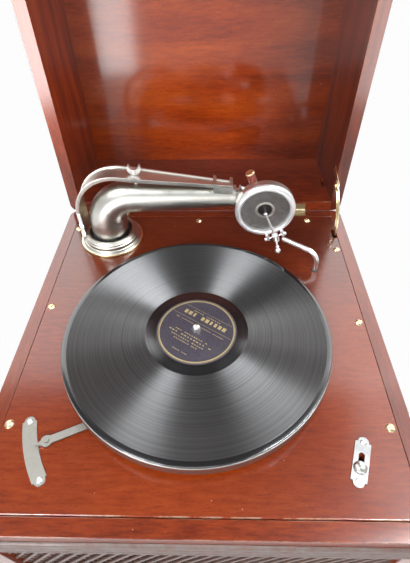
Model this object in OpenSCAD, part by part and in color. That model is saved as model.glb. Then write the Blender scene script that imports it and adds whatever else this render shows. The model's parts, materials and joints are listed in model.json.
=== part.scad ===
// Table-top disc gramophone with its lid open: wooden case, spring motor, tone arm and sound box.
// Origin at the middle of the base, +Z up, front of the case towards -Y.
// Deck places are measured from the turntable spindle, at the level of the rim.

/* [Case] */
// Outside width of the case
case_w = 359; // [354:1:380]
// Outside depth of the case
case_d = 382; // [378:1:400]
// Height of the rim above the table
case_h = 225; // [220:1:250]
// Thickness of the side and back boards
wall_t = 13; // [11.5:0.5:14]
// Thickness of the front board
front_t = 13.5; // [11:0.5:15]
// Radius of the upright back corners
corner_r = 10; // [4:0.5:11]
// Thickness of the bottom board
bottom_t = 12; // [8:1:16]
// Height of the plinth strip
plinth_h = 24; // [16:1:32]
// How far the plinth stands out from the case
plinth_out = 6; // [3:0.5:9]
// Distance from the rim down to the reeded moulding
reed_drop = 12; // [8:1:14]
// Height of the reeded moulding
reed_band = 27; // [18:1:28]
// How far the reeds stand out
reed_out = 3; // [1.5:0.5:4]

/* [Grille] */
// Width of the post on each side of the grille
grille_side = 18; // [16:0.5:30]
// Height of the rail below the grille
grille_low = 47; // [40:1:70]
// Distance from the rim down to the grille opening
grille_drop = 40; // [40:1:46]
// Width of one diamond of the trellis
diamond_w = 11.3; // [10:0.1:16]
// Height of one diamond of the trellis
diamond_h = 18.4; // [15:0.1:24]
// Width of a trellis lath
lath_w = 3; // [2:0.25:4]
// Thickness of a trellis lath
lath_t = 2; // [1.5:0.25:3]
// How far the trellis lies behind the front face
lath_inset = 3; // [1:0.5:5]

/* [Motor board] */
// Thickness of the motor board
board_t = 14; // [12:0.5:16]
// Gap between the motor board and the case
board_gap = 0.6; // [0.3:0.1:1.5]
// Width of the ledge that carries the motor board
ledge_w = 14; // [11:0.5:16]
// Height of that ledge
ledge_h = 14; // [10:1:20]
// Sideways place of the spindle
spindle_x = -3.2; // [-6:0.1:0]
// Distance of the spindle from the inside of the front
spindle_front = 153; // [150:0.5:156]
// Distance of the board screws from the case wall
screw_edge = 6; // [5:0.5:7]
// Radius of a board screw head
screw_head_r = 4; // [3:0.25:4.5]
// Radius of a board screw shank
screw_shank_r = 1.8; // [1.2:0.1:2.2]

/* [Lid] */
// Angle at which the lid stands open
lid_open = 92; // [90:1:95]
// Depth of the lid inside, rim to panel
lid_inner = 115.5; // [112:0.5:130]
// Thickness of the lid panel
lid_panel_t = 11.5; // [8:0.5:15]
// Thickness of the lid walls
lid_wall_t = 13.5; // [12:0.5:14]
// Gap between the closed lid and the rim
lid_gap = 0.5; // [0.4:0.1:1]
// Length of a lid hinge
hinge_l = 32; // [28:1:36]
// Distance of a hinge centre from the middle of the case
hinge_x = 117.8; // [112:0.2:122]
// Depth of a hinge leaf
leaf_d = 10.5; // [7:0.5:11]
// Thickness of a hinge leaf
leaf_t = 1.3; // [1:0.1:1.8]
// Radius of the hinge knuckles
knuckle_r = 2.6; // [2.2:0.1:3]
// Radius of the hinge pin
hinge_pin_r = 1.1; // [0.8:0.1:1.4]
// Radius of the lid stay's slotted arc
stay_r = 48; // [44:0.5:52]
// Width of the lid stay
stay_w = 9; // [8:0.5:10]
// Thickness of the lid stay
stay_t = 1.8; // [1.2:0.1:2]

/* [Turntable and record] */
// Radius of the record
record_r = 125; // [120:1:126]
// Thickness of the record
record_t = 2.1; // [1.6:0.1:2.6]
// Radius of the record label
label_r = 38; // [34:0.5:42]
// Thickness of the record label
label_t = 0.1; // [0.05:0.05:0.2]
// Radius of the turntable
table_r = 125.5; // [125:0.1:127]
// Height of the turntable top above the deck
table_top = 19.3; // [18:0.1:19.6]
// Height of the turntable skirt
skirt_h = 11; // [8:0.5:12]
// Thickness of the turntable skirt
skirt_t = 2; // [1.5:0.25:2.25]
// Thickness of the turntable plate
plate_t = 2.2; // [1.5:0.1:3]
// Thickness of the turntable felt
felt_t = 0.6; // [0.4:0.1:1]
// Radius of the spindle pin through the record
pin_r = 3.6; // [3.2:0.05:3.8]
// Height of the spindle pin above the record
pin_up = 7.5; // [5:0.5:9]
// Radius of the spindle shaft
shaft_r = 4; // [3.9:0.1:5]

/* [Tone arm] */
// Distance of the arm's swing axis from the inside of the left wall
arm_side = 52.3; // [51:0.1:54]
// Distance of the arm's swing axis from the inside of the back
arm_back = 41.5; // [41:0.1:43]
// Height of the arm's centre line
arm_z = 61; // [60:0.25:62]
// Radius of the upright tube
tube_r = 22; // [20:0.25:23]
// Radius of the tube where the elbow ends
elbow_end_r = 18; // [15:0.25:19]
// Radius of the tube at its free end
tube_end_r = 11.5; // [10.5:0.25:13]
// Wall of the tube
tube_wall = 2.5; // [1.5:0.25:3]
// Bend radius of the elbow's centre line
elbow_r = 31; // [28:0.5:34]
// Distance from the swing axis to the tube's free end
arm_reach = 146; // [144:0.5:148]
// Radius of the base flange
base_r = 38; // [36:0.5:40]
// Height of the base flange
base_h = 6; // [4:0.5:8]
// Outer radius of the turning collar
collar_r = 33; // [31:0.5:34]
// Height of the turning collar above the deck
collar_top = 14; // [12:0.5:16]
// Radius of the open groove round the tube
groove_r = 25.5; // [24.5:0.25:27]
// Width of the strap at the elbow
strap_w = 25.5; // [22:0.5:27]
// Width of the strap at its end
strap_end_w = 11; // [8:0.5:13]
// Thickness of the strap with its raised edges
strap_t = 4.5; // [4:0.25:5]
// Radius of the strap's arch
strap_r = 50; // [48:0.5:52]
// Downward slope of the strap over the arm
strap_slope = 7.2; // [6.5:0.1:7.8]

/* [Sound box] */
// Radius of the sound box
box_r = 33; // [31:0.25:34]
// Width of the bright front ring
bezel_w = 6.5; // [4:0.25:8]
// Distance from the swing axis to the sound box centre
box_reach = 183; // [182:0.25:185]
// Radius of the neck between arm and sound box
neck_r = 7; // [6:0.25:8]
// Bend radius of the neck
neck_bend = 10; // [9:0.25:12]
// Radius of the hole in the front plate
face_hole_r = 7.5; // [5:0.25:9]
// Angle of the stylus bar from upright
stylus_lean = 24; // [18:1:28]
// Distance from the sound box centre to the needle tip
needle_reach = 42.1; // [41.2:0.1:42.2]
// Length of the lift handle
handle_l = 22; // [16:1:26]
// Radius of the lift handle
handle_r = 4.6; // [3.5:0.1:5.5]

/* [Deck fittings] */
// Radius of the needle rest rod
rest_r = 2.75; // [2:0.25:3]
// Height of the needle rest rod
rest_z = 24; // [21:0.5:24.5]
// Distance of the speed lever's pivot from the inside of the left wall
lever_side = 144.3; // [143:0.1:146]
// Length of the speed lever, pivot to tip
lever_l = 120; // [118:0.5:121]
// Width of the speed lever
lever_w = 6.5; // [5:0.5:8]
// Radius of the speed scale's middle line
scale_r = 124; // [123:0.5:125]
// Width of the speed scale
scale_w = 11.7; // [9:0.1:13]
// Angle that the speed scale spans
scale_span = 24; // [22:0.5:26]
// Length of the brake plate
brake_l = 41; // [39:0.5:44]
// Width of the brake plate
brake_w = 12.5; // [11:0.5:14]
// Travel of the brake knob
brake_travel = 10; // [8:0.5:10]
// Radius of the brake knob
brake_knob_r = 5.2; // [4:0.1:5.6]

/* [Motor] */
// Gear module of the motor's wheels
gear_m = 1.25; // [1.25:0.01:1.28]
// Teeth of the spindle pinion
spindle_teeth = 15; // [15:1:16]
// Teeth of the middle wheel
middle_teeth = 60; // [60:1:62]
// Teeth of the middle pinion
middle_pinion_teeth = 12; // [12:1:13]
// Teeth of the spring barrel
barrel_teeth = 72; // [70:1:72]
// Radius of the spring barrel
barrel_r = 39; // [36:0.5:40]
// Height of the spring barrel
barrel_h = 24; // [20:0.5:24]
// Thickness of the motor plates
frame_t = 4; // [3:0.5:5]
// Length of the crank arm
crank_l = 92; // [70:1:100]
// Length of the crank grip
grip_l = 62; // [50:1:80]
// Radius of the crank grip
grip_r = 12; // [9:0.5:15]
// Radius of the winding shaft
wind_r = 5; // [4:0.25:6]

/* [Hidden] */
$fn = 64;

// Colours
wood = "#7b2d19";
dark_wood = "#4f2015";
nickel = "#c9c5bb";
brass = "#c8a24c";
shellac = "#17171a";
iron = "#43474a";
felt = "#4a2320";

// Clearances
fit = 0.05;
gap = 0.3;
tiny = 0.01;
cut = 1;

// Case and board
in_x = case_w / 2 - wall_t;
in_front = -case_d / 2 + front_t;
in_back = case_d / 2 - wall_t;
board_x = in_x - board_gap;
board_front = in_front + board_gap;
board_back = in_back - board_gap;
spindle_y = in_front + spindle_front;
grille_w = case_w - 2 * grille_side;
grille_h = case_h - grille_drop - grille_low;
grille_z = grille_low;
reed_count = 3;
reed_pitch = reed_band / reed_count;
reed_r = 0.56 * reed_pitch;
front_screws = 69.5;
left_screws = [in_front + front_screws, spindle_y + 46.5, in_back - 25.5];
right_screws = [in_front + front_screws, spindle_y + 27, in_back - 65];
back_screw_row = [-4, 137];
back_screw_edge = 8.5;
screw_points = concat(
    [for (y = left_screws) [screw_edge - in_x, y]],
    [for (y = right_screws) [in_x - screw_edge, y]],
    [for (x = back_screw_row) [spindle_x + x, in_back - back_screw_edge]]);
screw_l = board_t + 9;

// Lid and hinges
axis_z = case_h + lid_gap / 2;
pin_l = hinge_l - 2;
middle_knuckle_l = hinge_l / 3;
stay_x = case_w / 2 - max(wall_t, lid_wall_t) - 1.7 - stay_t;
stay_top = 80;
stay_low = -22;
stud_angle = stay_top - 6;
stud_r = 2;
stay_slot_w = 2 * stud_r + 2 * gap;
stay_pad_d = 16;
stay_pad_h = 20;
stay_pad_z = -26;
finger_t = 1.2;
finger_w = 8;
finger_l = 30;
stud_head_t = 1.5;
stud_head_r = stud_r + 1.5;

// Turntable levels, above the deck
skirt_low = table_top - skirt_h;
record_low = table_top + felt_t;
record_top = record_low + record_t;
hub_r = 14;
hub_low = 2;
pin_top = record_top + pin_up;

// Tone arm, from the spindle
arm_x = arm_side - in_x - spindle_x;
arm_y = in_back - arm_back - spindle_y;
base_neck_l = board_t + 8;
base_neck_r = tube_r + 5.5;
collar_low = base_h + gap;
web_t = 2.2;
tube_foot = -12;
elbow_z = arm_z - elbow_r;
tube_sides = 28;
elbow_steps = 14;
strap_left = -base_r + 5.5;
strap_cx = strap_left + strap_r;
strap_cz = 44;
strap_foot = collar_low;
strap_steps = 14;
strap_end = arm_reach + 1;
strap_rib = 2.8;
strap_groove = 1.6;
strap_turn = 90 - strap_slope;
strap_screw_x = 40;
clamp_l = 22;
clamp_cheek = 1.4;
clamp_bar = 3.5;
clamp_up = 2;
ferrule_l = 6;
ferrule_r = tube_end_r + 1;
neck_in = 5;

// Sound box, along its own axis from the back
back_boss_h = 8;
shell_z = back_boss_h;
shell_h = 8;
shell_floor = 2;
shell_wall = 3;
gasket_h = 1.7;
diaphragm_t = 0.25;
face_z = shell_z + shell_floor + 2 * gasket_h + diaphragm_t;
bezel_z = shell_z + shell_h;
bezel_h = 6;
face_t = bezel_z + 1 - face_z;
bar_z = bezel_z + bezel_h + 1.1;
bar_t = 2;
holder_low = needle_reach - 4.1;
holder_h = 7;
holder_w = 7;
holder_d = 6;
lug_x = 8.5;
lug_t = 3;
needle_r = 0.7;
handle_lean = 22;
handle_stem_r = 1.8;
handle_stem_l = 4;
handle_cap = 0.4;
handle_cap_l = 2.2;
handle_x = -8;
lug_top = 12;
lug_w = 8;
lug_d = 8.5;

// Deck fittings
rest_foot = [131.6, 103.3];
rest_turn = 144;
rest_bend = 13;
rest_clear = 28.6;
rest_l = rest_foot[0] - arm_x - box_reach - rest_clear;
lever_pivot = [lever_side - in_x - spindle_x, -53.6];
lever_angle = 204.1;
arc_steps = 24;
lever_low = 1.7;
lever_t = 2;
lever_post_r = 4;
plate_thick = 1.3;
brake_mid = [132.2, -111.4];
brake_angle = 70;
brake_start = -5;
brake_shank_r = 2;
brake_screw_at = brake_l / 2 - 4.5;
brake_pivot = [94.8, -70.4];
brake_shoe_at = [82, -83];
brake_shoe_r = 3.6;
brake_arm_z = -board_t - 5.5;
brake_arm_t = 2.5;
brake_stud_r = 3;
brake_k0 = brake_mid + brake_start * [cos(brake_angle), sin(brake_angle)];
brake_arm_v = brake_k0 - brake_pivot;
brake_arm_a = atan2(brake_arm_v[1], brake_arm_v[0]);
brake_arm_l = norm(brake_arm_v);
plate_screw_r = 2.6;
plate_tongue_r = 4.5;

// Motor, below the deck
top_plate_z = -board_t - 18 - frame_t;
train_h = 60;
low_plate_z = top_plate_z - train_h - frame_t;
mesh_play = 0.15;
middle_d = gear_m * (spindle_teeth + middle_teeth) / 2 + mesh_play;
barrel_d = gear_m * (middle_pinion_teeth + barrel_teeth) / 2 + mesh_play;
middle_at = [-middle_d, 0];
barrel_at = [-middle_d, -barrel_d];
middle_wheel_z = top_plate_z - 12;
middle_wheel_t = 5;
barrel_z = low_plate_z + frame_t + 3;
barrel_gear_z = barrel_z + 10;
barrel_gear_t = 6;
arbor_r = 5;
wind_z = top_plate_z - 18;
bevel_wheel_r = 20;
bevel_depth = 10;
bevel_inner = 0.6;
worm_wheel_r = 22;
worm_wheel_z = low_plate_z + frame_t + 16;
worm_wheel_t = 6;
worm_r = 5;
governor_y = worm_wheel_r + worm_r + gap;
governor_z = worm_wheel_z + worm_wheel_t / 2;
governor_x0 = -26;
governor_x1 = 76;
governor_r = 3;
governor_disc_r = 16;
plate_left = -98;
plate_right = 84;
plate_front = -102;
plate_back = 50;
pillar_r = 5;
pillar_edge = 9;
crank_hole_r = wind_r + fit;
crank_x = case_w / 2;
escutcheon_r = 19;
escutcheon_t = 3;
crank_out = 24;
crank_arm_r = 5;

// Horn
throat_r = base_neck_r;
throat_wall = 4;
throat_drop = 110;
throat_bend = 45;
horn_wall = 6;
horn_low = 28;
horn_room = 19;
horn_neck_top = case_h + low_plate_z - horn_room;
horn_neck_y = in_front + 48;
horn_neck_x = 120;
mouth_gap = 1;

// Places
module deck() {
    translate([spindle_x, spindle_y, case_h]) children();
}

module at_arm() {
    deck() translate([arm_x, arm_y, 0]) children();
}

module lid_place() {
    translate([0, case_d / 2, axis_z]) rotate([-lid_open, 0, 0])
        translate([0, -case_d / 2, -lid_gap / 2]) children();
}

module at_box() {
    at_arm() translate([box_reach, -neck_bend, arm_z]) rotate([90, 0, 0]) children();
}

module at_stylus() {
    at_box() rotate([0, 0, stylus_lean]) children();
}

module along_x() {
    rotate([90, 0, 90]) children();
}

// Shared shapes
module plan_outline(w, d, r) {
    translate([-w / 2, -d / 2]) square([w, d - r]);
    translate([-w / 2 + r, d / 2 - 2 * r]) square([w - 2 * r, 2 * r]);
    for (s = [-1, 1]) translate([s * (w / 2 - r), d / 2 - r]) circle(r);
}

module ring(r_out, r_in, h) {
    difference() {
        cylinder(h = h, r = r_out);
        translate([0, 0, -cut]) cylinder(h = h + 2 * cut, r = r_in);
    }
}

module round_screw(head_r, head_h, shank_r, shank_l) {
    slot_w = head_r / 4;
    difference() {
        rotate_extrude() intersection() {
            translate([0, head_h - head_r * 1.25]) circle(head_r * 1.25);
            square([head_r, head_h]);
        }
        translate([-head_r - cut, -slot_w / 2, head_h * 0.6]) cube([2 * (head_r + cut), slot_w, head_h]);
    }
    translate([0, 0, -shank_l]) cylinder(h = shank_l + tiny, r = shank_r);
}

// Screw with a U-shaped thumb head, standing on z = 0
module thumb_screw(width, shank_r, shank_l) {
    wing_t = width / 3.4;
    wing_r = width / 2;
    translate([0, 0, -shank_l]) cylinder(h = shank_l + tiny, r = shank_r);
    cylinder(h = wing_t, r = shank_r * 1.5);
    translate([0, wing_t / 2, wing_r * 0.95]) rotate([90, 0, 0]) linear_extrude(wing_t) difference() {
        circle(wing_r);
        translate([0, wing_r * 0.5]) circle(wing_r * 0.7);
        translate([-wing_r - cut, wing_r * 0.5]) square([2 * (wing_r + cut), wing_r]);
    }
}

// Spur gear with straight-flanked teeth, one tooth centred on +X
function tooth_half(r, pitch_r, m) = m * PI / 4 - 0.2 * m - (r - pitch_r) * tan(20);
function gear_points(teeth, m) =
    let (pitch_r = teeth * m / 2)
    let (low = pitch_r - 1.15 * m)
    let (top = pitch_r + 0.8 * m)
    let (low_a = asin(tooth_half(low, pitch_r, m) / low))
    let (top_a = asin(tooth_half(top, pitch_r, m) / top))
    [for (i = [0 : teeth - 1]) for (p = [[low, -low_a], [top, -top_a], [top, top_a], [low, low_a]])
        let (a = 360 * i / teeth + p[1]) p[0] * [cos(a), sin(a)]];

module gear(teeth, h, bore_r) {
    linear_extrude(h) difference() {
        polygon(gear_points(teeth, gear_m));
        circle(bore_r);
    }
}

// Case
module case_sides() color(wood) {
    for (s = [-1, 1]) difference() {
        intersection() {
            linear_extrude(case_h) plan_outline(case_w, case_d, corner_r);
            translate([s > 0 ? in_x : -case_w / 2, in_front, 0]) cube([wall_t, case_d, case_h]);
        }
        if (s > 0) translate([in_x - cut, spindle_y + barrel_at[1], case_h + wind_z]) along_x()
            cylinder(h = wall_t + 2 * cut, r = crank_hole_r);
    }
}

module case_front() color(wood) {
    difference() {
        translate([-case_w / 2, -case_d / 2, 0]) cube([case_w, front_t, case_h]);
        translate([-grille_w / 2, -case_d / 2 - cut, grille_z])
            cube([grille_w, front_t + 2 * cut, grille_h]);
    }
}

module front_moulding() color(dark_wood) {
    translate([-case_w / 2, -case_d / 2, case_h - reed_drop - reed_band]) along_x() linear_extrude(case_w)
        intersection() {
            translate([-reed_out, 0]) square([reed_out, reed_band]);
            for (i = [0 : reed_count - 1])
                translate([reed_r - reed_out, (i + 0.5) * reed_pitch]) circle(reed_r);
        }
}

module trellis(lean) {
    reach = ceil((grille_w / diamond_w + grille_h / diamond_h) / 2);
    intersection() {
        square([grille_w, grille_h], center = true);
        for (i = [-reach : reach]) translate([i * diamond_w, 0]) rotate(lean)
            square([lath_w, 3 * grille_h], center = true);
    }
}

module grille() color(dark_wood) {
    lean = atan(diamond_w / diamond_h);
    for (layer = [0, 1])
        translate([0, lath_inset + (layer + 1) * lath_t + layer * gap - case_d / 2, grille_z + grille_h / 2])
            rotate([90, 0, 0]) linear_extrude(lath_t) trellis((2 * layer - 1) * lean);
}

module case_back() color(wood) {
    difference() {
        translate([-in_x, in_back, 0]) cube([2 * in_x, wall_t, case_h]);
        hinge_pockets(case_h - leaf_t);
    }
}

// Seats for the hinge leaves and their knuckles
module hinge_pockets(low) {
    for (s = [-1, 1]) translate([s * hinge_x - hinge_l / 2, case_d / 2, 0]) {
        translate([0, -leaf_d, low]) cube([hinge_l, leaf_d + cut, leaf_t + lid_gap]);
        translate([-gap, 0, axis_z]) along_x() cylinder(h = hinge_l + 2 * gap, r = knuckle_r + gap);
    }
}

module case_bottom() color(dark_wood) {
    translate([-in_x, in_front, 0]) cube([2 * in_x, in_back - in_front, bottom_t]);
}

module plinth() color(dark_wood) {
    linear_extrude(plinth_h) difference() {
        plan_outline(case_w + 2 * plinth_out, case_d + 2 * plinth_out, corner_r + plinth_out);
        plan_outline(case_w, case_d, corner_r);
    }
}

module board_ledges() color(dark_wood) {
    low = case_h - board_t - ledge_h;
    difference() {
        union() {
            for (s = [0, 1]) translate([s == 0 ? -in_x : in_x - ledge_w, in_front, low])
                cube([ledge_w, in_back - in_front, ledge_h]);
            for (y = [in_front, in_back - ledge_w]) translate([-in_x + ledge_w, y, low])
                cube([2 * (in_x - ledge_w), ledge_w, ledge_h]);
        }
        for (p = screw_points) translate([p[0], p[1], low - cut])
            cylinder(h = ledge_h + 2 * cut, r = screw_shank_r + fit);
        stay_notch(low - cut, ledge_h + 2 * cut);
    }
}

// Way for the lid stay and its finger, beside the right wall
module stay_notch(low, h) {
    from = stay_x - stud_head_t - 3 * gap;
    translate([from, case_d / 2 - stay_r - stay_pad_d / 2 - gap, low])
        cube([in_x - from + cut, stay_pad_d + 2 * gap, h]);
}

module slot_2d(l, w) {
    square([l, w], center = true);
    for (s = [-1, 1]) translate([s * l / 2, 0]) circle(w / 2);
}

module motor_board() color(wood) {
    difference() {
        translate([0, 0, case_h - board_t]) linear_extrude(board_t) difference() {
            translate([-board_x, board_front]) square([2 * board_x, board_back - board_front]);
            for (p = screw_points) translate(p) circle(screw_shank_r + fit);
            translate([spindle_x, spindle_y]) {
                circle(shaft_r + 4);
                translate([arm_x, arm_y]) circle(base_neck_r + gap);
                translate(rest_foot) circle(rest_r + fit);
                translate(lever_pivot) circle(lever_post_r + fit);
                translate(brake_shoe_at) circle(brake_stud_r + brake_shoe_r + 1);
                translate(brake_mid) rotate(brake_angle)
                    slot_2d(brake_travel, 2 * (brake_shank_r + gap));
                for (p = plate_screw_points()) translate(p) circle(plate_screw_r / 2 + fit);
            }
        }
        stay_notch(case_h - board_t - cut, board_t + 2 * cut);
    }
}

module board_screws() color(brass) {
    for (i = [0 : len(screw_points) - 1]) translate([screw_points[i][0], screw_points[i][1], case_h])
        rotate(i * 47) round_screw(screw_head_r, screw_head_r * 0.55, screw_shank_r, screw_l);
}

// Lid, drawn closed with its rim just over z = 0
module lid_shell(h) {
    translate([0, 0, lid_gap]) linear_extrude(h) plan_outline(case_w, case_d, corner_r);
}

module lid_panel() color(wood) {
    lid_place() translate([0, 0, lid_inner]) lid_shell(lid_panel_t);
}

module lid_sides() color(wood) {
    lid_place() for (s = [-1, 1]) intersection() {
        lid_shell(lid_inner);
        translate([s > 0 ? case_w / 2 - lid_wall_t : -case_w / 2, -case_d / 2 + lid_wall_t, 0])
            cube([lid_wall_t, case_d, lid_inner + cut]);
    }
}

module lid_ends() color(wood) {
    lid_place() {
        translate([-case_w / 2, -case_d / 2, lid_gap]) cube([case_w, lid_wall_t, lid_inner]);
        difference() {
            translate([-case_w / 2 + lid_wall_t, case_d / 2 - lid_wall_t, lid_gap])
                cube([case_w - 2 * lid_wall_t, lid_wall_t, lid_inner]);
            translate([0, 0, -case_h]) hinge_pockets(case_h);
            translate([stay_x - 1, case_d / 2 - lid_wall_t - cut, stay_r - stay_w])
                cube([stay_t + 2, lid_wall_t - 3 + cut, 2 * stay_w]);
        }
    }
}

// Hinges
module knuckle(from, l) {
    translate([from, 0, 0]) along_x() ring(knuckle_r, hinge_pin_r + fit, l);
}

module leaf_plate(from, l, low) {
    difference() {
        translate([from, -leaf_d, low]) cube([l, leaf_d, leaf_t]);
        translate([from - cut, 0, 0]) along_x() cylinder(h = l + 2 * cut, r = knuckle_r - tiny);
    }
}

module leaf_relief(from, l) {
    translate([from, 0, 0]) along_x() cylinder(h = l, r = knuckle_r + gap);
}

module hinge_case_leaves() color(brass) {
    outer_l = (hinge_l - middle_knuckle_l) / 2 - gap;
    for (s = [-1, 1]) translate([s * hinge_x - hinge_l / 2, case_d / 2, axis_z]) {
        difference() {
            leaf_plate(0, hinge_l, -lid_gap / 2 - leaf_t);
            leaf_relief(outer_l, middle_knuckle_l + 2 * gap);
        }
        knuckle(0, outer_l);
        knuckle(hinge_l - outer_l, outer_l);
    }
}

module hinge_lid_leaves() color(brass) {
    outer_l = (hinge_l - middle_knuckle_l) / 2;
    lid_place() for (s = [-1, 1]) translate([s * hinge_x - hinge_l / 2, case_d / 2, lid_gap / 2]) {
        difference() {
            leaf_plate(0, hinge_l, lid_gap / 2);
            leaf_relief(-cut, outer_l + cut);
            leaf_relief(hinge_l - outer_l, outer_l + cut);
        }
        knuckle(outer_l, middle_knuckle_l);
    }
}

module hinge_pins() color(nickel) {
    for (s = [-1, 1]) translate([s * hinge_x - pin_l / 2, case_d / 2, axis_z]) along_x()
        cylinder(h = pin_l, r = hinge_pin_r);
}

// Lid stay: a slotted quadrant round the hinge line, and the lid's finger with its stud
module stay_arc(from, to, w) {
    polygon(band_points(stay_r, 180 - to, 180 - from, w));
}

module stay_quadrant() color(brass) {
    translate([stay_x, case_d / 2, axis_z]) {
        along_x() linear_extrude(stay_t) difference() {
            stay_arc(stay_low, stay_top, stay_w);
            stay_arc(stud_angle - lid_open, stud_angle, stay_slot_w);
        }
        translate([0, -stay_r - stay_pad_d / 2, stay_pad_z - stay_pad_h])
            cube([in_x - stay_x, stay_pad_d, stay_pad_h]);
        translate([0, -stay_r - stay_w / 2, stay_pad_z - tiny])
            cube([stay_t, stay_w, stay_r * sin(stay_low) - stay_pad_z]);
    }
}

module stay_finger() color(brass) {
    wall_x = case_w / 2 - lid_wall_t;
    closed = stud_angle - lid_open;
    lid_place() translate([0, case_d / 2, lid_gap / 2]) {
        translate([wall_x - finger_t, 0, 0]) along_x() rotate(180 - closed) translate([stay_r, 0, 0]) {
            cylinder(h = finger_t, r = finger_w / 2);
            translate([-finger_w / 2, -finger_l, 0]) cube([finger_w, finger_l, finger_t]);
        }
        along_x() rotate(180 - closed) translate([stay_r, 0, 0]) {
            translate([0, 0, stay_x - gap - stud_head_t]) {
                cylinder(h = wall_x - finger_t - stay_x + gap + stud_head_t + tiny, r = stud_r);
                cylinder(h = stud_head_t, r = stud_head_r);
            }
        }
    }
}

// Turntable and record
module turntable() color(nickel) {
    deck() rotate_extrude() {
        translate([shaft_r + fit, table_top - plate_t]) square([table_r - shaft_r - fit, plate_t]);
        translate([table_r - skirt_t, skirt_low]) square([skirt_t, skirt_h]);
        translate([shaft_r + fit, hub_low]) square([hub_r - shaft_r - fit, table_top - hub_low]);
    }
}

module turntable_felt() color(felt) {
    deck() translate([0, 0, table_top]) ring(record_r - 2, shaft_r + 1, felt_t);
}

module spindle() color(nickel) {
    pinion_z = middle_wheel_z - 1;
    deck() {
        translate([0, 0, low_plate_z]) cylinder(h = table_top - low_plate_z, r = shaft_r);
        translate([0, 0, table_top - tiny]) cylinder(h = pin_top - pin_r - table_top + tiny, r = pin_r);
        translate([0, 0, pin_top - pin_r]) sphere(pin_r);
        translate([0, 0, hub_low - 1.5]) cylinder(h = 1.5, r = shaft_r + 3);
        translate([0, 0, pinion_z]) rotate(180) gear(spindle_teeth, middle_wheel_t + 2, tiny);
        translate([0, 0, worm_wheel_z]) cylinder(h = worm_wheel_t, r = worm_wheel_r);
    }
}

module record() color(shellac) {
    deck() translate([0, 0, record_low]) ring(record_r, pin_r + fit, record_t);
}

module record_label() color("#241d38") {
    deck() translate([0, 0, record_top]) ring(label_r, pin_r + 0.4, label_t);
}

// Tone arm
module arm_base() color(nickel) {
    lip = 3;
    at_arm() rotate_extrude() polygon([[tube_r + fit, -base_neck_l], [base_neck_r, -base_neck_l],
        [base_neck_r, 0], [base_r, 0], [base_r, base_h - lip], [base_r - 2, base_h - lip],
        [base_r - 2, base_h], [tube_r + fit, base_h]]);
}

module arm_collar() color(nickel) {
    flat_x = strap_left + strap_t;
    step = 3;
    at_arm() difference() {
        rotate_extrude() polygon([[tube_r - tube_wall, tube_foot], [tube_r, tube_foot],
            [tube_r, collar_low], [collar_r, collar_low],
            [collar_r, collar_top - step], [collar_r - step, collar_top],
            [groove_r, collar_top], [groove_r, collar_low + web_t], [tube_r, collar_low + web_t],
            [tube_r, elbow_z], [tube_r - tube_wall, elbow_z]]);
        translate([flat_x - base_r, -strap_w / 2 - gap, collar_low - cut])
            cube([base_r, strap_w + 2 * gap, collar_top]);
    }
}

// Centre line and radius of the tapered tube: elbow first, then the straight arm
function tube_stations() = concat(
    [for (i = [0 : elbow_steps]) let (a = 90 * i / elbow_steps)
        [[elbow_r * (1 - cos(a)), 0, elbow_z + elbow_r * sin(a)], a,
            tube_r + (elbow_end_r - tube_r) * i / elbow_steps]],
    [[[arm_reach, 0, arm_z], 90, tube_end_r]]);
function tube_ring(s, r) = [for (k = [0 : tube_sides - 1]) let (t = 360 * k / tube_sides)
    s[0] + r * (cos(t) * [cos(s[1]), 0, -sin(s[1])] + sin(t) * [0, 1, 0])];
function band(a, b, flip) = [for (k = [0 : tube_sides - 1]) let (n = (k + 1) % tube_sides)
    each flip ? [[a + k, b + n, a + n], [a + k, b + k, b + n]]
        : [[a + k, a + n, b + n], [a + k, b + n, b + k]]];

module tone_tube() color(nickel) {
    st = tube_stations();
    n = len(st);
    inner = n * tube_sides;
    points = concat(
        [for (s = st) each tube_ring(s, s[2])],
        [for (s = st) each tube_ring(s, s[2] - tube_wall)]);
    faces = concat(
        [for (i = [0 : n - 2]) each band(i * tube_sides, (i + 1) * tube_sides, true)],
        [for (i = [0 : n - 2]) each band(inner + i * tube_sides, inner + (i + 1) * tube_sides, false)],
        band(0, inner, false),
        band((n - 1) * tube_sides, inner + (n - 1) * tube_sides, true));
    at_arm() polyhedron(points = points, faces = faces);
}

// Side view of the strap between two distances from its outer line
function strap_line(d) = concat(
    [[strap_left + d, strap_foot]],
    [for (i = [0 : strap_steps]) let (a = 180 - (180 - strap_turn) * i / strap_steps)
        [strap_cx + (strap_r - d) * cos(a), strap_cz + (strap_r - d) * sin(a)]],
    [let (s = strap_top_line(strap_end)) [strap_end, s - d / cos(strap_slope)]]);
function strap_top_line(x) = strap_cz + strap_r * sin(strap_turn)
    - (x - strap_cx - strap_r * cos(strap_turn)) * tan(strap_slope);
function strap_width(x) = strap_w + (strap_end_w - strap_w)
    * max(0, x - strap_screw_x) / (strap_end - strap_screw_x);
function strap_plan() = [[strap_left - cut, -strap_w], [strap_screw_x, -strap_w],
    [strap_end + cut, -strap_end_w], [strap_end + cut, strap_end_w],
    [strap_screw_x, strap_w], [strap_left - cut, strap_w]];
function round_end(mid, r, from) = [for (i = [1 : arc_steps - 1])
    mid + r * [cos(from + 180 * i / arc_steps), sin(from + 180 * i / arc_steps)]];
function arc_points(r, from, to) = [for (i = [0 : arc_steps])
    r * [cos(from + (to - from) * i / arc_steps), sin(from + (to - from) * i / arc_steps)]];
function band_points(r, from, to, w) = concat(
    arc_points(r + w / 2, from, to), round_end(r * [cos(to), sin(to)], w / 2, to),
    arc_points(r - w / 2, to, from), round_end(r * [cos(from), sin(from)], w / 2, from + 180));
function reversed(list) = [for (i = [len(list) - 1 : -1 : 0]) list[i]];

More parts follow.
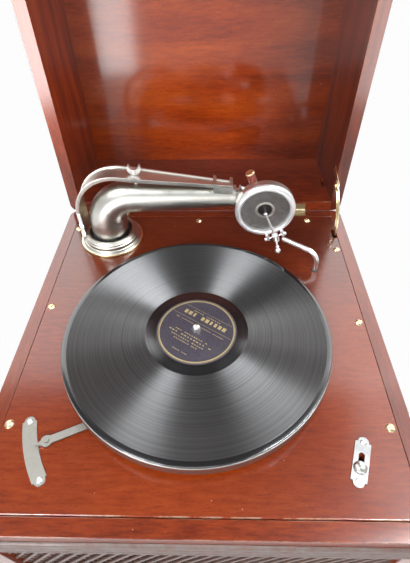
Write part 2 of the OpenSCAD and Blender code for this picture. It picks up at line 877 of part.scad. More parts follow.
module strap_band(from, to, inset) {
    intersection() {
        translate([0, strap_w, 0]) rotate([90, 0, 0]) linear_extrude(2 * strap_w)
            polygon(concat(strap_line(from), reversed(strap_line(to))));
        translate([0, 0, strap_foot - cut]) linear_extrude(strap_cz + strap_r + 2 * cut)
            polygon([for (p = strap_plan()) [p[0], p[1] / 2 - sign(p[1]) * inset]]);
    }
}

module arm_strap() color(nickel) {
    at_arm() difference() {
        strap_band(0, strap_t, 0);
        strap_band(-cut, strap_groove, strap_rib);
        translate([strap_screw_x, 0, 0]) cylinder(h = strap_cz + 2 * strap_r, r = 2 + fit);
    }
}

module strap_screw() color(nickel) {
    top = strap_top_line(strap_screw_x) - strap_groove + 0.6;
    tube_at = elbow_end_r + (tube_end_r - elbow_end_r) * (strap_screw_x - elbow_r) / (arm_reach - elbow_r);
    at_arm() translate([strap_screw_x, 0, top]) thumb_screw(15, 2, top - arm_z - tube_at - gap);
}

// Clip round tube and strap, with the ferrule that the neck turns in
module clamp_side(from, to, up, down) {
    polygon([[from, strap_top_line(from) + up], [to, strap_top_line(to) + up],
        [to, strap_top_line(to) - down], [from, strap_top_line(from) - down]]);
}

module arm_clamp() color(nickel) {
    from = arm_reach - clamp_l + 2;
    to = from + clamp_l;
    inner_w = strap_width(from) + 2 * gap;
    outer_w = inner_w + 2 * clamp_cheek;
    under = strap_t / cos(strap_slope) + gap;
    at_arm() {
        difference() {
            translate([0, outer_w / 2, 0]) rotate([90, 0, 0]) linear_extrude(outer_w)
                clamp_side(from, to, gap + clamp_up, strap_top_line(from) - arm_z - 6);
            translate([0, inner_w / 2, 0]) rotate([90, 0, 0]) linear_extrude(inner_w) {
                clamp_side(from - cut, to + cut, gap, under);
                clamp_side(from + clamp_bar, to - clamp_bar, gap + clamp_up + cut, under);
            }
            translate([0, outer_w, 0]) rotate([90, 0, 0]) linear_extrude(2 * outer_w)
                clamp_side(from + clamp_bar, to - clamp_bar, gap + clamp_up + cut, clamp_up);
            translate([from - cut, 0, arm_z]) along_x() cylinder(h = arm_reach - from + cut + tiny,
                r = tube_end_r + (elbow_end_r - tube_end_r) * clamp_l / (arm_reach - elbow_r) + fit);
            translate([from - cut, 0, arm_z]) along_x() cylinder(h = clamp_l + 2 * cut, r = neck_r + 1);
        }
        translate([arm_reach, 0, arm_z]) along_x() ring(ferrule_r, neck_r + fit, ferrule_l);
    }
}

// Sound box
module soundbox_neck() color(nickel) {
    wall = 1.6;
    straight = box_reach - neck_bend - arm_reach + neck_in;
    at_arm() translate([arm_reach - neck_in, 0, arm_z]) {
        along_x() ring(neck_r, neck_r - wall, straight);
        translate([straight, -neck_bend, 0]) rotate_extrude(angle = 90)
            translate([neck_bend, 0]) difference() {
            circle(neck_r);
            circle(neck_r - wall);
        }
        translate([neck_in + ferrule_l + gap, 0, 0]) along_x() ring(neck_r + 2.4, neck_r - tiny, 12);
    }
}

module lock_screw() color(nickel) {
    lean = 20;
    at_arm() translate([arm_reach + ferrule_l + gap + 8, 0, arm_z]) rotate([lean, 0, 0])
        translate([0, 0, neck_r + 2.4 + 1.6]) thumb_screw(11, 1.6, 1.4);
}

module lift_handle() color("#7a2a20") {
    seat = lug_top + handle_stem_r * sin(handle_lean) + tiny;
    behind = handle_r + handle_cap + gap;
    at_box() translate([handle_x, seat, shell_z - behind]) rotate([-90, 0, 0])
        rotate([0, -handle_lean, 0]) {
        cylinder(h = handle_stem_l, r = handle_stem_r);
        translate([0, 0, handle_stem_l - tiny]) cylinder(h = handle_l, r = handle_r);
        translate([0, 0, handle_stem_l + handle_l - tiny])
            cylinder(h = handle_cap_l, r = handle_r + handle_cap);
    }
}

module soundbox_back() color(nickel) {
    at_box() difference() {
        union() {
            cylinder(h = back_boss_h + tiny, r = neck_r + 3);
            translate([0, 0, shell_z]) cylinder(h = shell_h, r = box_r - 0.6);
            translate([handle_x - lug_w / 2, lug_top / 2, shell_z - lug_d])
                cube([lug_w, lug_top / 2, lug_d + tiny]);
        }
        translate([0, 0, -cut]) cylinder(h = shell_h + 2 * cut, r = neck_r - 1.6);
        translate([0, 0, shell_z + shell_floor]) cylinder(h = shell_h, r = box_r - 0.6 - shell_wall);
    }
}

module soundbox_gaskets() color("#2a2523") {
    for (z = [0, gasket_h + diaphragm_t]) at_box() translate([0, 0, shell_z + shell_floor + z])
        ring(box_r - shell_wall - 0.9, box_r - shell_wall - 5, gasket_h);
}

module diaphragm() color("#3a3632") {
    at_box() translate([0, 0, shell_z + shell_floor + gasket_h])
        cylinder(h = diaphragm_t, r = box_r - shell_wall - 1.2);
}

module soundbox_face() color("#4b4b4d") {
    at_box() translate([0, 0, face_z]) difference() {
        union() {
            cylinder(h = bezel_z - face_z, r = box_r - shell_wall - 0.9);
            cylinder(h = face_t, r = box_r - bezel_w - 0.2);
        }
        translate([0, 0, -cut]) cylinder(h = face_t + 2 * cut, r = face_hole_r);
        translate([0, 0, face_t - 1]) cylinder(h = 1 + tiny, r1 = face_hole_r, r2 = face_hole_r + 1);
    }
}

module soundbox_bezel() color(nickel) {
    round_r = 1.5;
    at_stylus() {
        difference() {
            translate([0, 0, bezel_z]) rotate_extrude() translate([box_r - bezel_w, 0]) {
                square([bezel_w, bezel_h - round_r]);
                translate([round_r, 0]) square([bezel_w - 2 * round_r, bezel_h]);
                for (x = [round_r, bezel_w - round_r]) translate([x, bezel_h - round_r]) circle(round_r);
            }
        }
        for (s = [-1, 1]) difference() {
            translate([s * lug_x - lug_t / 2, -holder_low + 1, bezel_z])
                cube([lug_t, holder_h + 1, bar_z + bar_t - bezel_z]);
            translate([s * lug_x - lug_t, -holder_low + 4, bar_z + bar_t / 2]) along_x()
                cylinder(h = 2 * lug_t, r = 1 + fit);
        }
    }
}

module stylus_bar() color(nickel) {
    foot_z = shell_z + shell_floor + gasket_h + diaphragm_t;
    at_stylus() difference() {
        union() {
            translate([0, 0, foot_z]) cylinder(h = bar_z - foot_z + tiny, r = 1.3);
            translate([0, 0, bar_z]) linear_extrude(bar_t) polygon([[-1.6, 1.6], [1.6, 1.6], [1.2, -20],
                [2, -holder_low + holder_h + 1], [-2, -holder_low + holder_h + 1], [-1.2, -20]]);
            translate([-holder_w / 2, -holder_low, bar_z - 1])
                cube([holder_w, holder_h + 1 + tiny, holder_d]);
        }
        translate([0, -holder_low + holder_h, bar_z + holder_d / 2 - 1]) rotate([90, 0, 0])
            cylinder(h = holder_h + cut, r = needle_r + fit);
        for (s = [-1, 1]) translate([s * holder_w / 2 - 1, -holder_low + 4, bar_z + bar_t / 2]) along_x()
            cylinder(h = 2, r = 1 + fit);
        translate([0, -holder_low + 3, bar_z + holder_d - 3]) cylinder(h = 4, r = 1.2 + fit);
    }
}

module stylus_screws() color(nickel) {
    at_stylus() {
        for (s = [-1, 1]) translate([s * (lug_x + lug_t / 2), -holder_low + 4, bar_z + bar_t / 2])
            rotate([0, s * 90, 0]) {
                cylinder(h = 2.5, r = 2);
                translate([0, 0, -(lug_x + lug_t / 2 - holder_w / 2 + 0.8)])
                    cylinder(h = lug_x + lug_t / 2 - holder_w / 2 + 0.8 + tiny, r = 1);
            }
        translate([0, -holder_low + 3, bar_z + holder_d - 2.2]) {
            cylinder(h = 20, r = 1.2);
            translate([0, 0, 14]) cylinder(h = 3, r = 2);
            translate([0, 0, 20]) sphere(3.2);
        }
    }
}

module needle() color(iron) {
    tip_l = 2.6;
    at_stylus() translate([0, -needle_reach, bar_z + holder_d / 2 - 1]) rotate([-90, 0, 0]) {
        cylinder(h = tip_l, r1 = 0.12, r2 = needle_r);
        translate([0, 0, tip_l - tiny])
            cylinder(h = needle_reach - holder_low + holder_h - 1 - tip_l, r = needle_r);
    }
}

// Deck fittings
module needle_rest() color(nickel) {
    deck() translate([rest_foot[0], rest_foot[1], 0]) rotate(rest_turn) {
        translate([0, 0, -board_t]) cylinder(h = board_t + rest_z - rest_bend, r = rest_r);
        translate([rest_bend, 0, rest_z - rest_bend]) rotate([90, 0, 0]) rotate(90)
            rotate_extrude(angle = 90) translate([rest_bend, 0]) circle(rest_r);
        translate([rest_bend, 0, rest_z]) along_x() cylinder(h = rest_l, r = rest_r);
        translate([rest_bend + rest_l, 0, rest_z]) sphere(rest_r);
    }
}

function on_lever(r, a) = lever_pivot + r * [cos(a), sin(a)];
function plate_screw_points() = concat(
    [for (s = [-1, 1]) on_lever(scale_r, lever_angle + 1 + s * (scale_span / 2))],
    [for (s = [-1, 1]) brake_mid + s * brake_screw_at * [cos(brake_angle), sin(brake_angle)]]);

module at_lever() {
    deck() translate([lever_pivot[0], lever_pivot[1], 0]) children();
}

module speed_plate() color(nickel) {
    at_lever() rotate(lever_angle + 1 - scale_span / 2) linear_extrude(plate_thick) difference() {
        union() {
            polygon(concat(arc_points(scale_r + scale_w / 2, 0, scale_span),
                arc_points(scale_r - scale_w / 2, scale_span, 0)));
            for (a = [0, scale_span]) rotate(a) translate([scale_r, 0]) circle(plate_tongue_r);
        }
        for (a = [0, scale_span]) rotate(a) translate([scale_r, 0]) circle(plate_screw_r / 2 + fit);
    }
}

module speed_lever() color(nickel) {
    cam_r = 9;
    cam_off = 3;
    cam_t = 4;
    post_low = -board_t - cam_t - 1;
    head_at = lever_l - 9.2;
    head_r = lever_w * 0.74;
    rivet_r = 1.8;
    rivet_h = 1.2;
    at_lever() {
        translate([0, 0, post_low]) cylinder(h = lever_low + lever_t - post_low, r = lever_post_r);
        translate([0, 0, gap]) cylinder(h = lever_low + lever_t - gap, r = lever_post_r + 3);
        translate([cam_off, 0, post_low]) cylinder(h = cam_t, r = cam_r);
        rotate(lever_angle) translate([0, 0, lever_low]) {
            linear_extrude(lever_t) {
                translate([0, -lever_w / 2]) square([head_at, lever_w]);
                translate([head_at, 0]) circle(head_r);
                polygon([[head_at, -head_r * 0.8], [lever_l, 0], [head_at, head_r * 0.8]]);
            }
            translate([head_at, 0, lever_t - tiny]) cylinder(h = rivet_h, r = rivet_r);
        }
    }
}

module at_brake() {
    deck() translate([brake_mid[0], brake_mid[1], 0]) rotate(brake_angle) children();
}

module brake_plate() color(nickel) {
    at_brake() linear_extrude(plate_thick) difference() {
        union() {
            square([2 * brake_screw_at, brake_w], center = true);
            for (s = [-1, 1]) translate([s * brake_screw_at, 0]) circle(plate_tongue_r);
        }
        slot_2d(brake_travel, 2 * (brake_shank_r + gap));
        for (s = [-1, 1]) translate([s * brake_screw_at, 0]) circle(plate_screw_r / 2 + fit);
    }
}

module brake_knob() color(nickel) {
    dome_h = 3.4;
    deck() translate([brake_k0[0], brake_k0[1], 0]) {
        translate([0, 0, brake_arm_z])
            cylinder(h = plate_thick + gap - brake_arm_z + tiny, r = brake_shank_r);
        translate([0, 0, plate_thick + gap]) rotate_extrude() intersection() {
            translate([0, dome_h - brake_knob_r * 1.2]) circle(brake_knob_r * 1.2);
            square([brake_knob_r, dome_h]);
        }
        translate([0, 0, -board_t - gap - 1.4]) cylinder(h = 1.4, r = brake_shank_r + 2.6);
    }
}

module brake_lever() color(iron) {
    shoe_v = brake_shoe_at - brake_pivot;
    shoe_l = norm(shoe_v);
    shoe_a = atan2(shoe_v[1], shoe_v[0]);
    deck() translate([brake_pivot[0], brake_pivot[1], brake_arm_z]) {
        linear_extrude(brake_arm_t) difference() {
            union() {
                circle(brake_stud_r + 3.5);
                rotate(brake_arm_a) translate([0, -5]) square([brake_arm_l + 6, 10]);
                rotate(shoe_a) translate([0, -3.5]) square([shoe_l, 7]);
                rotate(shoe_a) translate([shoe_l, 0]) circle(4.5);
            }
            circle(brake_stud_r + fit);
            rotate(brake_arm_a) translate([brake_arm_l - brake_travel / 4, 0])
                slot_2d(brake_travel * 0.7, 2 * (brake_shank_r + 2 * gap));
        }
        rotate(shoe_a) translate([shoe_l, 0, 0]) {
            cylinder(h = skirt_low + 6 - brake_arm_z, r = brake_stud_r);
            translate([0, 0, skirt_low + 1 - brake_arm_z]) cylinder(h = 5, r = brake_shoe_r);
        }
    }
}

module deck_screws() color(nickel) {
    deck() {
        points = plate_screw_points();
        for (i = [0 : len(points) - 1]) translate([points[i][0], points[i][1], plate_thick])
            rotate(i * 61) round_screw(plate_screw_r, 1.3, plate_screw_r / 2, plate_thick + 9);
        translate([brake_pivot[0], brake_pivot[1], brake_arm_z - gap - 2.5]) {
            cylinder(h = -board_t - brake_arm_z + gap + 2.5, r = brake_stud_r);
            cylinder(h = 2.5, r = brake_stud_r + 2.5);
        }
    }
}

// Motor
module plate_2d() {
    translate([plate_left, plate_front]) square([plate_right - plate_left, plate_back - plate_front]);
}

pillar_points = [for (x = [plate_left + pillar_edge, plate_right - pillar_edge])
    for (y = [plate_front + pillar_edge, plate_back - pillar_edge]) [x, y]];

module motor_plates() color(iron) {
    deck() for (low = [false, true]) translate([0, 0, low ? low_plate_z : top_plate_z])
        linear_extrude(frame_t)
        difference() {
            plate_2d();
            circle(shaft_r + fit);
            translate(middle_at) circle(arbor_r + fit);
            if (low) translate(barrel_at) circle(arbor_r + fit);
        }
}

module motor_pillars() color(iron) {
    bracket_w = 10;
    bracket_t = 4;
    bracket_h = governor_z - low_plate_z - frame_t + 7;
    deck() {
        for (p = pillar_points) translate([p[0], p[1], 0]) {
            translate([0, 0, low_plate_z + frame_t]) cylinder(h = train_h, r = pillar_r);
            translate([0, 0, top_plate_z + frame_t])
                cylinder(h = -board_t - top_plate_z - frame_t, r = pillar_r);
        }
        for (x = [governor_x0 + bracket_t, governor_x1 - 2 * bracket_t]) difference() {
            translate([x, governor_y - bracket_w / 2, low_plate_z + frame_t])
                cube([bracket_t, bracket_w, bracket_h]);
            translate([x - cut, governor_y, governor_z]) along_x()
                cylinder(h = bracket_t + 2 * cut, r = governor_r + fit);
        }
    }
}

module middle_wheel() color(brass) {
    pinion_z = barrel_gear_z - 2;
    deck() translate([middle_at[0], middle_at[1], 0]) {
        translate([0, 0, low_plate_z]) cylinder(h = top_plate_z + frame_t - low_plate_z, r = arbor_r);
        translate([0, 0, middle_wheel_z]) rotate(180 / middle_teeth)
            gear(middle_teeth, middle_wheel_t, tiny);
        translate([0, 0, pinion_z]) rotate(-90) gear(middle_pinion_teeth, barrel_gear_t + 4, tiny);
    }
}

module spring_barrel() color(brass) {
    shell = 2;
    deck() translate([barrel_at[0], barrel_at[1], 0]) {
        difference() {
            union() {
                translate([0, 0, barrel_z]) cylinder(h = barrel_h, r = barrel_r);
                translate([0, 0, barrel_gear_z]) rotate(90 + 180 / barrel_teeth)
                    gear(barrel_teeth, barrel_gear_t, arbor_r);
            }
            translate([0, 0, barrel_z + shell]) cylinder(h = barrel_h - 2 * shell, r = barrel_r - shell);
            translate([0, 0, barrel_z - cut]) cylinder(h = barrel_h + 2 * cut, r = arbor_r + fit);
        }
    }
}

// Flat spring wound outwards from the arbor to the barrel wall
module mainspring() color(iron) {
    turns = 6;
    strip_t = 1.2;
    r0 = arbor_r + 3;
    r1 = barrel_r - 4;
    steps = 24;
    spiral = [for (i = [0 : turns * steps]) let (f = i / (turns * steps))
        [r0 + (r1 - r0) * f, 360 * turns * f]];
    deck() translate([barrel_at[0], barrel_at[1], barrel_z + 3]) linear_extrude(barrel_h - 6)
        polygon(concat([for (p = spiral) p[0] * [cos(p[1]), sin(p[1])]],
            [for (p = reversed(spiral)) (p[0] + strip_t) * [cos(p[1]), sin(p[1])]]));
}

// Winding: the arbor's bevel wheel under the winding shaft's bevel pinion
module barrel_arbor() color(nickel) {
    wheel_z = wind_z - bevel_depth - gap;
    deck() translate([barrel_at[0], barrel_at[1], 0]) {
        translate([0, 0, low_plate_z]) cylinder(h = wind_z - 7 - low_plate_z, r = arbor_r);
        translate([0, 0, wheel_z - 2]) cylinder(h = 2 + tiny, r = bevel_wheel_r);
        translate([0, 0, wheel_z])
            cylinder(h = bevel_depth * (1 - bevel_inner),
                r1 = bevel_wheel_r, r2 = bevel_wheel_r * bevel_inner);
    }
}

// Governor: worm, friction disc and three sprung weights on one shaft
module governor() color(brass) {
    weight_x = (governor_x0 + governor_x1) / 2 + 6;
    weight_r = 4.5;
    weight_l = 10;
    hub_r = 10;
    hub_t = 3;
    spring_l = 34;
    spring_w = 4;
    spring_t = 0.8;
    disc_x = governor_x1 - 18;
    deck() translate([0, governor_y, governor_z]) {
        translate([governor_x0, 0, 0]) along_x() cylinder(h = governor_x1 - governor_x0, r = governor_r);
        translate([-worm_wheel_t, 0, 0]) along_x() cylinder(h = 2 * worm_wheel_t, r = worm_r);
        translate([disc_x, 0, 0]) along_x() cylinder(h = hub_t, r = governor_disc_r);
        for (x = [weight_x - spring_l / 2, weight_x + spring_l / 2 - hub_t]) translate([x, 0, 0]) along_x()
            cylinder(h = hub_t, r = hub_r);
        for (i = [0 : 2]) rotate([i * 120, 0, 0]) {
            translate([weight_x - spring_l / 2, -spring_w / 2, hub_r - spring_t - 0.5])
                cube([spring_l, spring_w, spring_t]);
            translate([weight_x - weight_l / 2, 0, hub_r]) along_x() cylinder(h = weight_l, r = weight_r);
        }
    }
}

module winding_shaft() color(nickel) {
    start = bevel_wheel_r * bevel_inner + gap;
    span = bevel_wheel_r * (1 - bevel_inner);
    l = crank_x + escutcheon_t + crank_out - spindle_x - barrel_at[0];
    deck() translate([barrel_at[0], barrel_at[1], wind_z]) along_x() {
        translate([0, 0, start]) cylinder(h = span, r1 = bevel_depth * bevel_inner, r2 = bevel_depth);
        translate([0, 0, start + span - tiny]) cylinder(h = 3, r = bevel_depth);
        translate([0, 0, start + span]) cylinder(h = l - start - span, r = wind_r);
    }
}

module crank_escutcheon() color(brass) {
    translate([crank_x, spindle_y + barrel_at[1], case_h + wind_z]) along_x() {
        ring(escutcheon_r, crank_hole_r, escutcheon_t * 0.6);
        ring(wind_r + 5, crank_hole_r, escutcheon_t);
    }
}

module crank_arm() color(nickel) {
    eye_r = wind_r + 4;
    out = crank_x + escutcheon_t + crank_out - 14;
    eye_l = 14;
    translate([out, spindle_y + barrel_at[1], case_h + wind_z]) {
        along_x() ring(eye_r, wind_r + fit, eye_l);
        translate([eye_l / 2, 0, -crank_l]) cylinder(h = crank_l - eye_r + 2, r = crank_arm_r);
        translate([eye_l / 2, 0, -crank_l]) sphere(crank_arm_r + 1);
        translate([eye_l / 2, 0, -crank_l]) along_x() cylinder(h = grip_l + 12, r = crank_arm_r - 1.5);
    }
}

module crank_grip() color(dark_wood) {
    from = crank_x + escutcheon_t + crank_out - 7 + crank_arm_r + 2;
    bore = crank_arm_r - 1.5 + fit;
    r = grip_r;
    grip_steps = 12;
    translate([from, spindle_y + barrel_at[1], case_h + wind_z - crank_l]) along_x()
        rotate_extrude() polygon(concat([[bore, 0], [r * 0.6, 0]],
            [for (i = [0 : grip_steps]) let (f = i / grip_steps)
                [r * (0.62 + 0.38 * sin(30 + 130 * f)), grip_l * (0.04 + 0.92 * f)]],
            [[r * 0.5, grip_l], [bore, grip_l]]));
}

// Horn: elbow under the arm, then a flared box to the grille
module horn_throat() color(iron) {
    at_arm() {
        translate([0, 0, -throat_drop]) ring(throat_r, throat_r - throat_wall, throat_drop - base_neck_l);
        translate([0, -throat_bend, -throat_drop]) rotate([0, 90, 0])
            rotate_extrude(angle = 90) translate([throat_bend, 0]) difference() {
                circle(throat_r);
                circle(throat_r - throat_wall);
            }
    }
}

module horn_section(y, x0, x1, z0, z1, inset) {
    translate([x0 + inset, y, z0 + inset]) cube([x1 - x0 - 2 * inset, tiny, z1 - z0 - 2 * inset]);
}

module horn_solid(inset, extra) {
    start_y = spindle_y + arm_y - throat_bend - mouth_gap;
    cx = spindle_x + arm_x;
    cz = case_h - throat_drop - throat_bend;
    end_y = in_front + mouth_gap;
    half = throat_r + horn_wall;
    mouth_top = case_h - grille_drop + horn_wall;
    hull() {
        horn_section(start_y + extra, cx - half, cx + half, cz - half, cz + half, inset);
        horn_section(horn_neck_y, -in_x + 10, horn_neck_x, horn_low, horn_neck_top, inset);
    }
    hull() {
        horn_section(horn_neck_y, -in_x + 10, horn_neck_x, horn_low, horn_neck_top, inset);
        horn_section(end_y - extra, -in_x + 2, in_x - 2, grille_z - horn_wall, mouth_top, inset);
    }
}

module horn() color(dark_wood) {
    difference() {
        horn_solid(0, 0);
        horn_solid(horn_wall, cut);
    }
}

case_sides();
case_front();
front_moulding();
grille();
case_back();
case_bottom();
plinth();
board_ledges();
motor_board();
board_screws();
lid_panel();
lid_sides();
lid_ends();
hinge_case_leaves();
hinge_lid_leaves();
hinge_pins();
stay_quadrant();
stay_finger();
turntable();
turntable_felt();
spindle();
record();
record_label();
arm_base();
arm_collar();
tone_tube();
arm_strap();
strap_screw();
arm_clamp();
soundbox_neck();
lock_screw();
lift_handle();
soundbox_back();
soundbox_gaskets();
diaphragm();
soundbox_face();
soundbox_bezel();
stylus_bar();
stylus_screws();
needle();
needle_rest();
speed_plate();
speed_lever();
brake_plate();
brake_knob();
brake_lever();
deck_screws();
motor_plates();
motor_pillars();
middle_wheel();
spring_barrel();
mainspring();
barrel_arbor();
governor();
winding_shaft();
crank_escutcheon();
crank_arm();
crank_grip();
horn_throat();
horn();
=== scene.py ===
import bpy
import bmesh
import json
import math
from mathutils import Matrix, Vector


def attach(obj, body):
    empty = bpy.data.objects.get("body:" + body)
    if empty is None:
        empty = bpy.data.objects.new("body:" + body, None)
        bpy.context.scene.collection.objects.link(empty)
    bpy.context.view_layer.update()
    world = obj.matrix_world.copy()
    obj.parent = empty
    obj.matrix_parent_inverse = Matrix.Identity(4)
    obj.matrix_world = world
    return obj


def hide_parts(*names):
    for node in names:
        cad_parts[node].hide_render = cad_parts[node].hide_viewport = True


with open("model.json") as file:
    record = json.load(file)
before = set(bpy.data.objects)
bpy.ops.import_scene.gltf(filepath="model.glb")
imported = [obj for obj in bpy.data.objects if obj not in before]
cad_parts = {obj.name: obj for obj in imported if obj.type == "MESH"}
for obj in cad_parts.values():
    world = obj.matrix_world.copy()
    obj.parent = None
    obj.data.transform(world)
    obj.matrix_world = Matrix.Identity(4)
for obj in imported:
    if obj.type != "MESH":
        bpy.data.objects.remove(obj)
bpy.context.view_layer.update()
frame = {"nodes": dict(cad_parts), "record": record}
nodes = frame["nodes"]
bodyOf = {n: b for b, members in frame["record"]["behaviour"]["bodies"].items() for n in members}
print("frame loaded:", len(nodes), "nodes")


# places, in millimetres, as the solids have them
def move(x, y, z):
    return Matrix.Translation((x, y, z))


def turn(degrees, axis):
    return Matrix.Rotation(math.radians(degrees), 4, axis)


toMetres = Matrix.Scale(0.001, 4)
deckPlace = move(-3.2, -24.5, 225)
armPlace = deckPlace @ move(-111, 161, 0)
boxPlace = armPlace @ move(183, -10, 61) @ turn(90, "X")
stylusPlace = boxPlace @ turn(24, "Z")


# materials
def addNode(tree, kind, inputs=None, **settings):
    made = tree.nodes.new(kind)
    for key, value in settings.items():
        setattr(made, key, value)
    for key, value in (inputs or {}).items():
        if isinstance(value, bpy.types.NodeSocket):
            tree.links.new(value, made.inputs[key])
        else:
            made.inputs[key].default_value = value
    return made


def startMaterial(name, **sockets):
    material = bpy.data.materials.new(name)
    material.use_nodes = True
    tree = material.node_tree
    tree.nodes.clear()
    shader = addNode(tree, "ShaderNodeBsdfPrincipled")
    for key, value in sockets.items():
        shader.inputs[key].default_value = value
    output = addNode(tree, "ShaderNodeOutputMaterial")
    tree.links.new(shader.outputs[0], output.inputs["Surface"])
    return material, tree, shader


def objectPoint(tree, scale=(1, 1, 1), location=(0, 0, 0), rotation=(0, 0, 0)):
    point = addNode(tree, "ShaderNodeTexCoord").outputs["Object"]
    placed = {"Vector": point, "Scale": scale, "Location": location, "Rotation": rotation}
    return addNode(tree, "ShaderNodeMapping", placed).outputs[0]


def noise(tree, point, scale, detail=3, rough=0.5, distort=0.0):
    inputs = {"Vector": point, "Scale": scale, "Detail": detail, "Roughness": rough, "Distortion": distort}
    return addNode(tree, "ShaderNodeTexNoise", inputs).outputs[0]


def maths(tree, operation, first, second=0.0):
    made = addNode(tree, "ShaderNodeMath", operation=operation)
    for socket, value in zip(made.inputs, (first, second)):
        if isinstance(value, bpy.types.NodeSocket):
            tree.links.new(value, socket)
        else:
            socket.default_value = value
    return made.outputs[0]


def ramp(tree, factor, stops):
    made = addNode(tree, "ShaderNodeValToRGB", {"Fac": factor})
    band = made.color_ramp
    while len(band.elements) < len(stops):
        band.elements.new(0.5)
    for element, (at, colour) in zip(band.elements, stops):
        element.position = at
        element.color = (*colour, 1) if len(colour) == 3 else colour
    return made.outputs[0]


def fade(tree, factor, low, high, fromValue=0.0, toValue=1.0):
    inputs = {"Value": factor, "From Min": low, "From Max": high, "To Min": fromValue, "To Max": toValue}
    return addNode(tree, "ShaderNodeMapRange", inputs, clamp=True).outputs[0]


def blendColour(tree, factor, first, second, mode="MIX"):
    made = addNode(tree, "ShaderNodeMix", data_type="RGBA", blend_type=mode)
    for index, value in ((0, factor), (6, first), (7, second)):
        if isinstance(value, bpy.types.NodeSocket):
            tree.links.new(value, made.inputs[index])
        else:
            made.inputs[index].default_value = (*value, 1) if index > 0 else value
    return made.outputs[2]


def mixValue(tree, factor, first, second):
    return addNode(tree, "ShaderNodeMix", {0: factor, 2: first, 3: second}, data_type="FLOAT").outputs[0]


def bump(tree, shader, height, strength, distance):
    made = addNode(tree, "ShaderNodeBump", {"Height": height, "Strength": strength, "Distance": distance})
    tree.links.new(made.outputs[0], shader.inputs["Normal"])


def attribute(tree, name):
    return addNode(tree, "ShaderNodeAttribute", attribute_name=name).outputs["Fac"]


varnishedWood = {
    "stretch": 0.16,         # how far the grain is drawn out
    "figure": 9.0,           # broad bands, per metre across the grain
    "figureMore": 34.0,
    "streak": 330.0,
    "pore": 1500.0,
    "poreShow": 0.5,
    "dark": (0.20, 0.020, 0.002),
    "middle": (0.40, 0.050, 0.003),
    "light": (0.56, 0.094, 0.006),
    "poreTone": (0.13, 0.015, 0.003),
    # pale colour for specks of wear, also used as a painted highlight on rounded edges
    "worn": (0.56, 0.33, 0.20),
    "cloud": 7.0,
    "cloudLow": (0.82, 0.78, 0.78),
    "cloudHigh": (1.12, 1.16, 1.16),
    "specks": 170.0,         # cells per metre, with one speck at most in each
    "speckFrom": 0.70,       # share of the cells that have none
    "speckSize": 0.085,
    "speckShow": 0.85,
    "rub": 32.0,
    "rubShow": 0.5,
    "dust": 120.0,
    "dustTone": (0.255, 0.23, 0.215),
    "coatIor": 1.65,
    "specular": 0.08,
    "haze": 0.03,
    "hazeRough": 0.6,
    "relief": 0.0004,
}


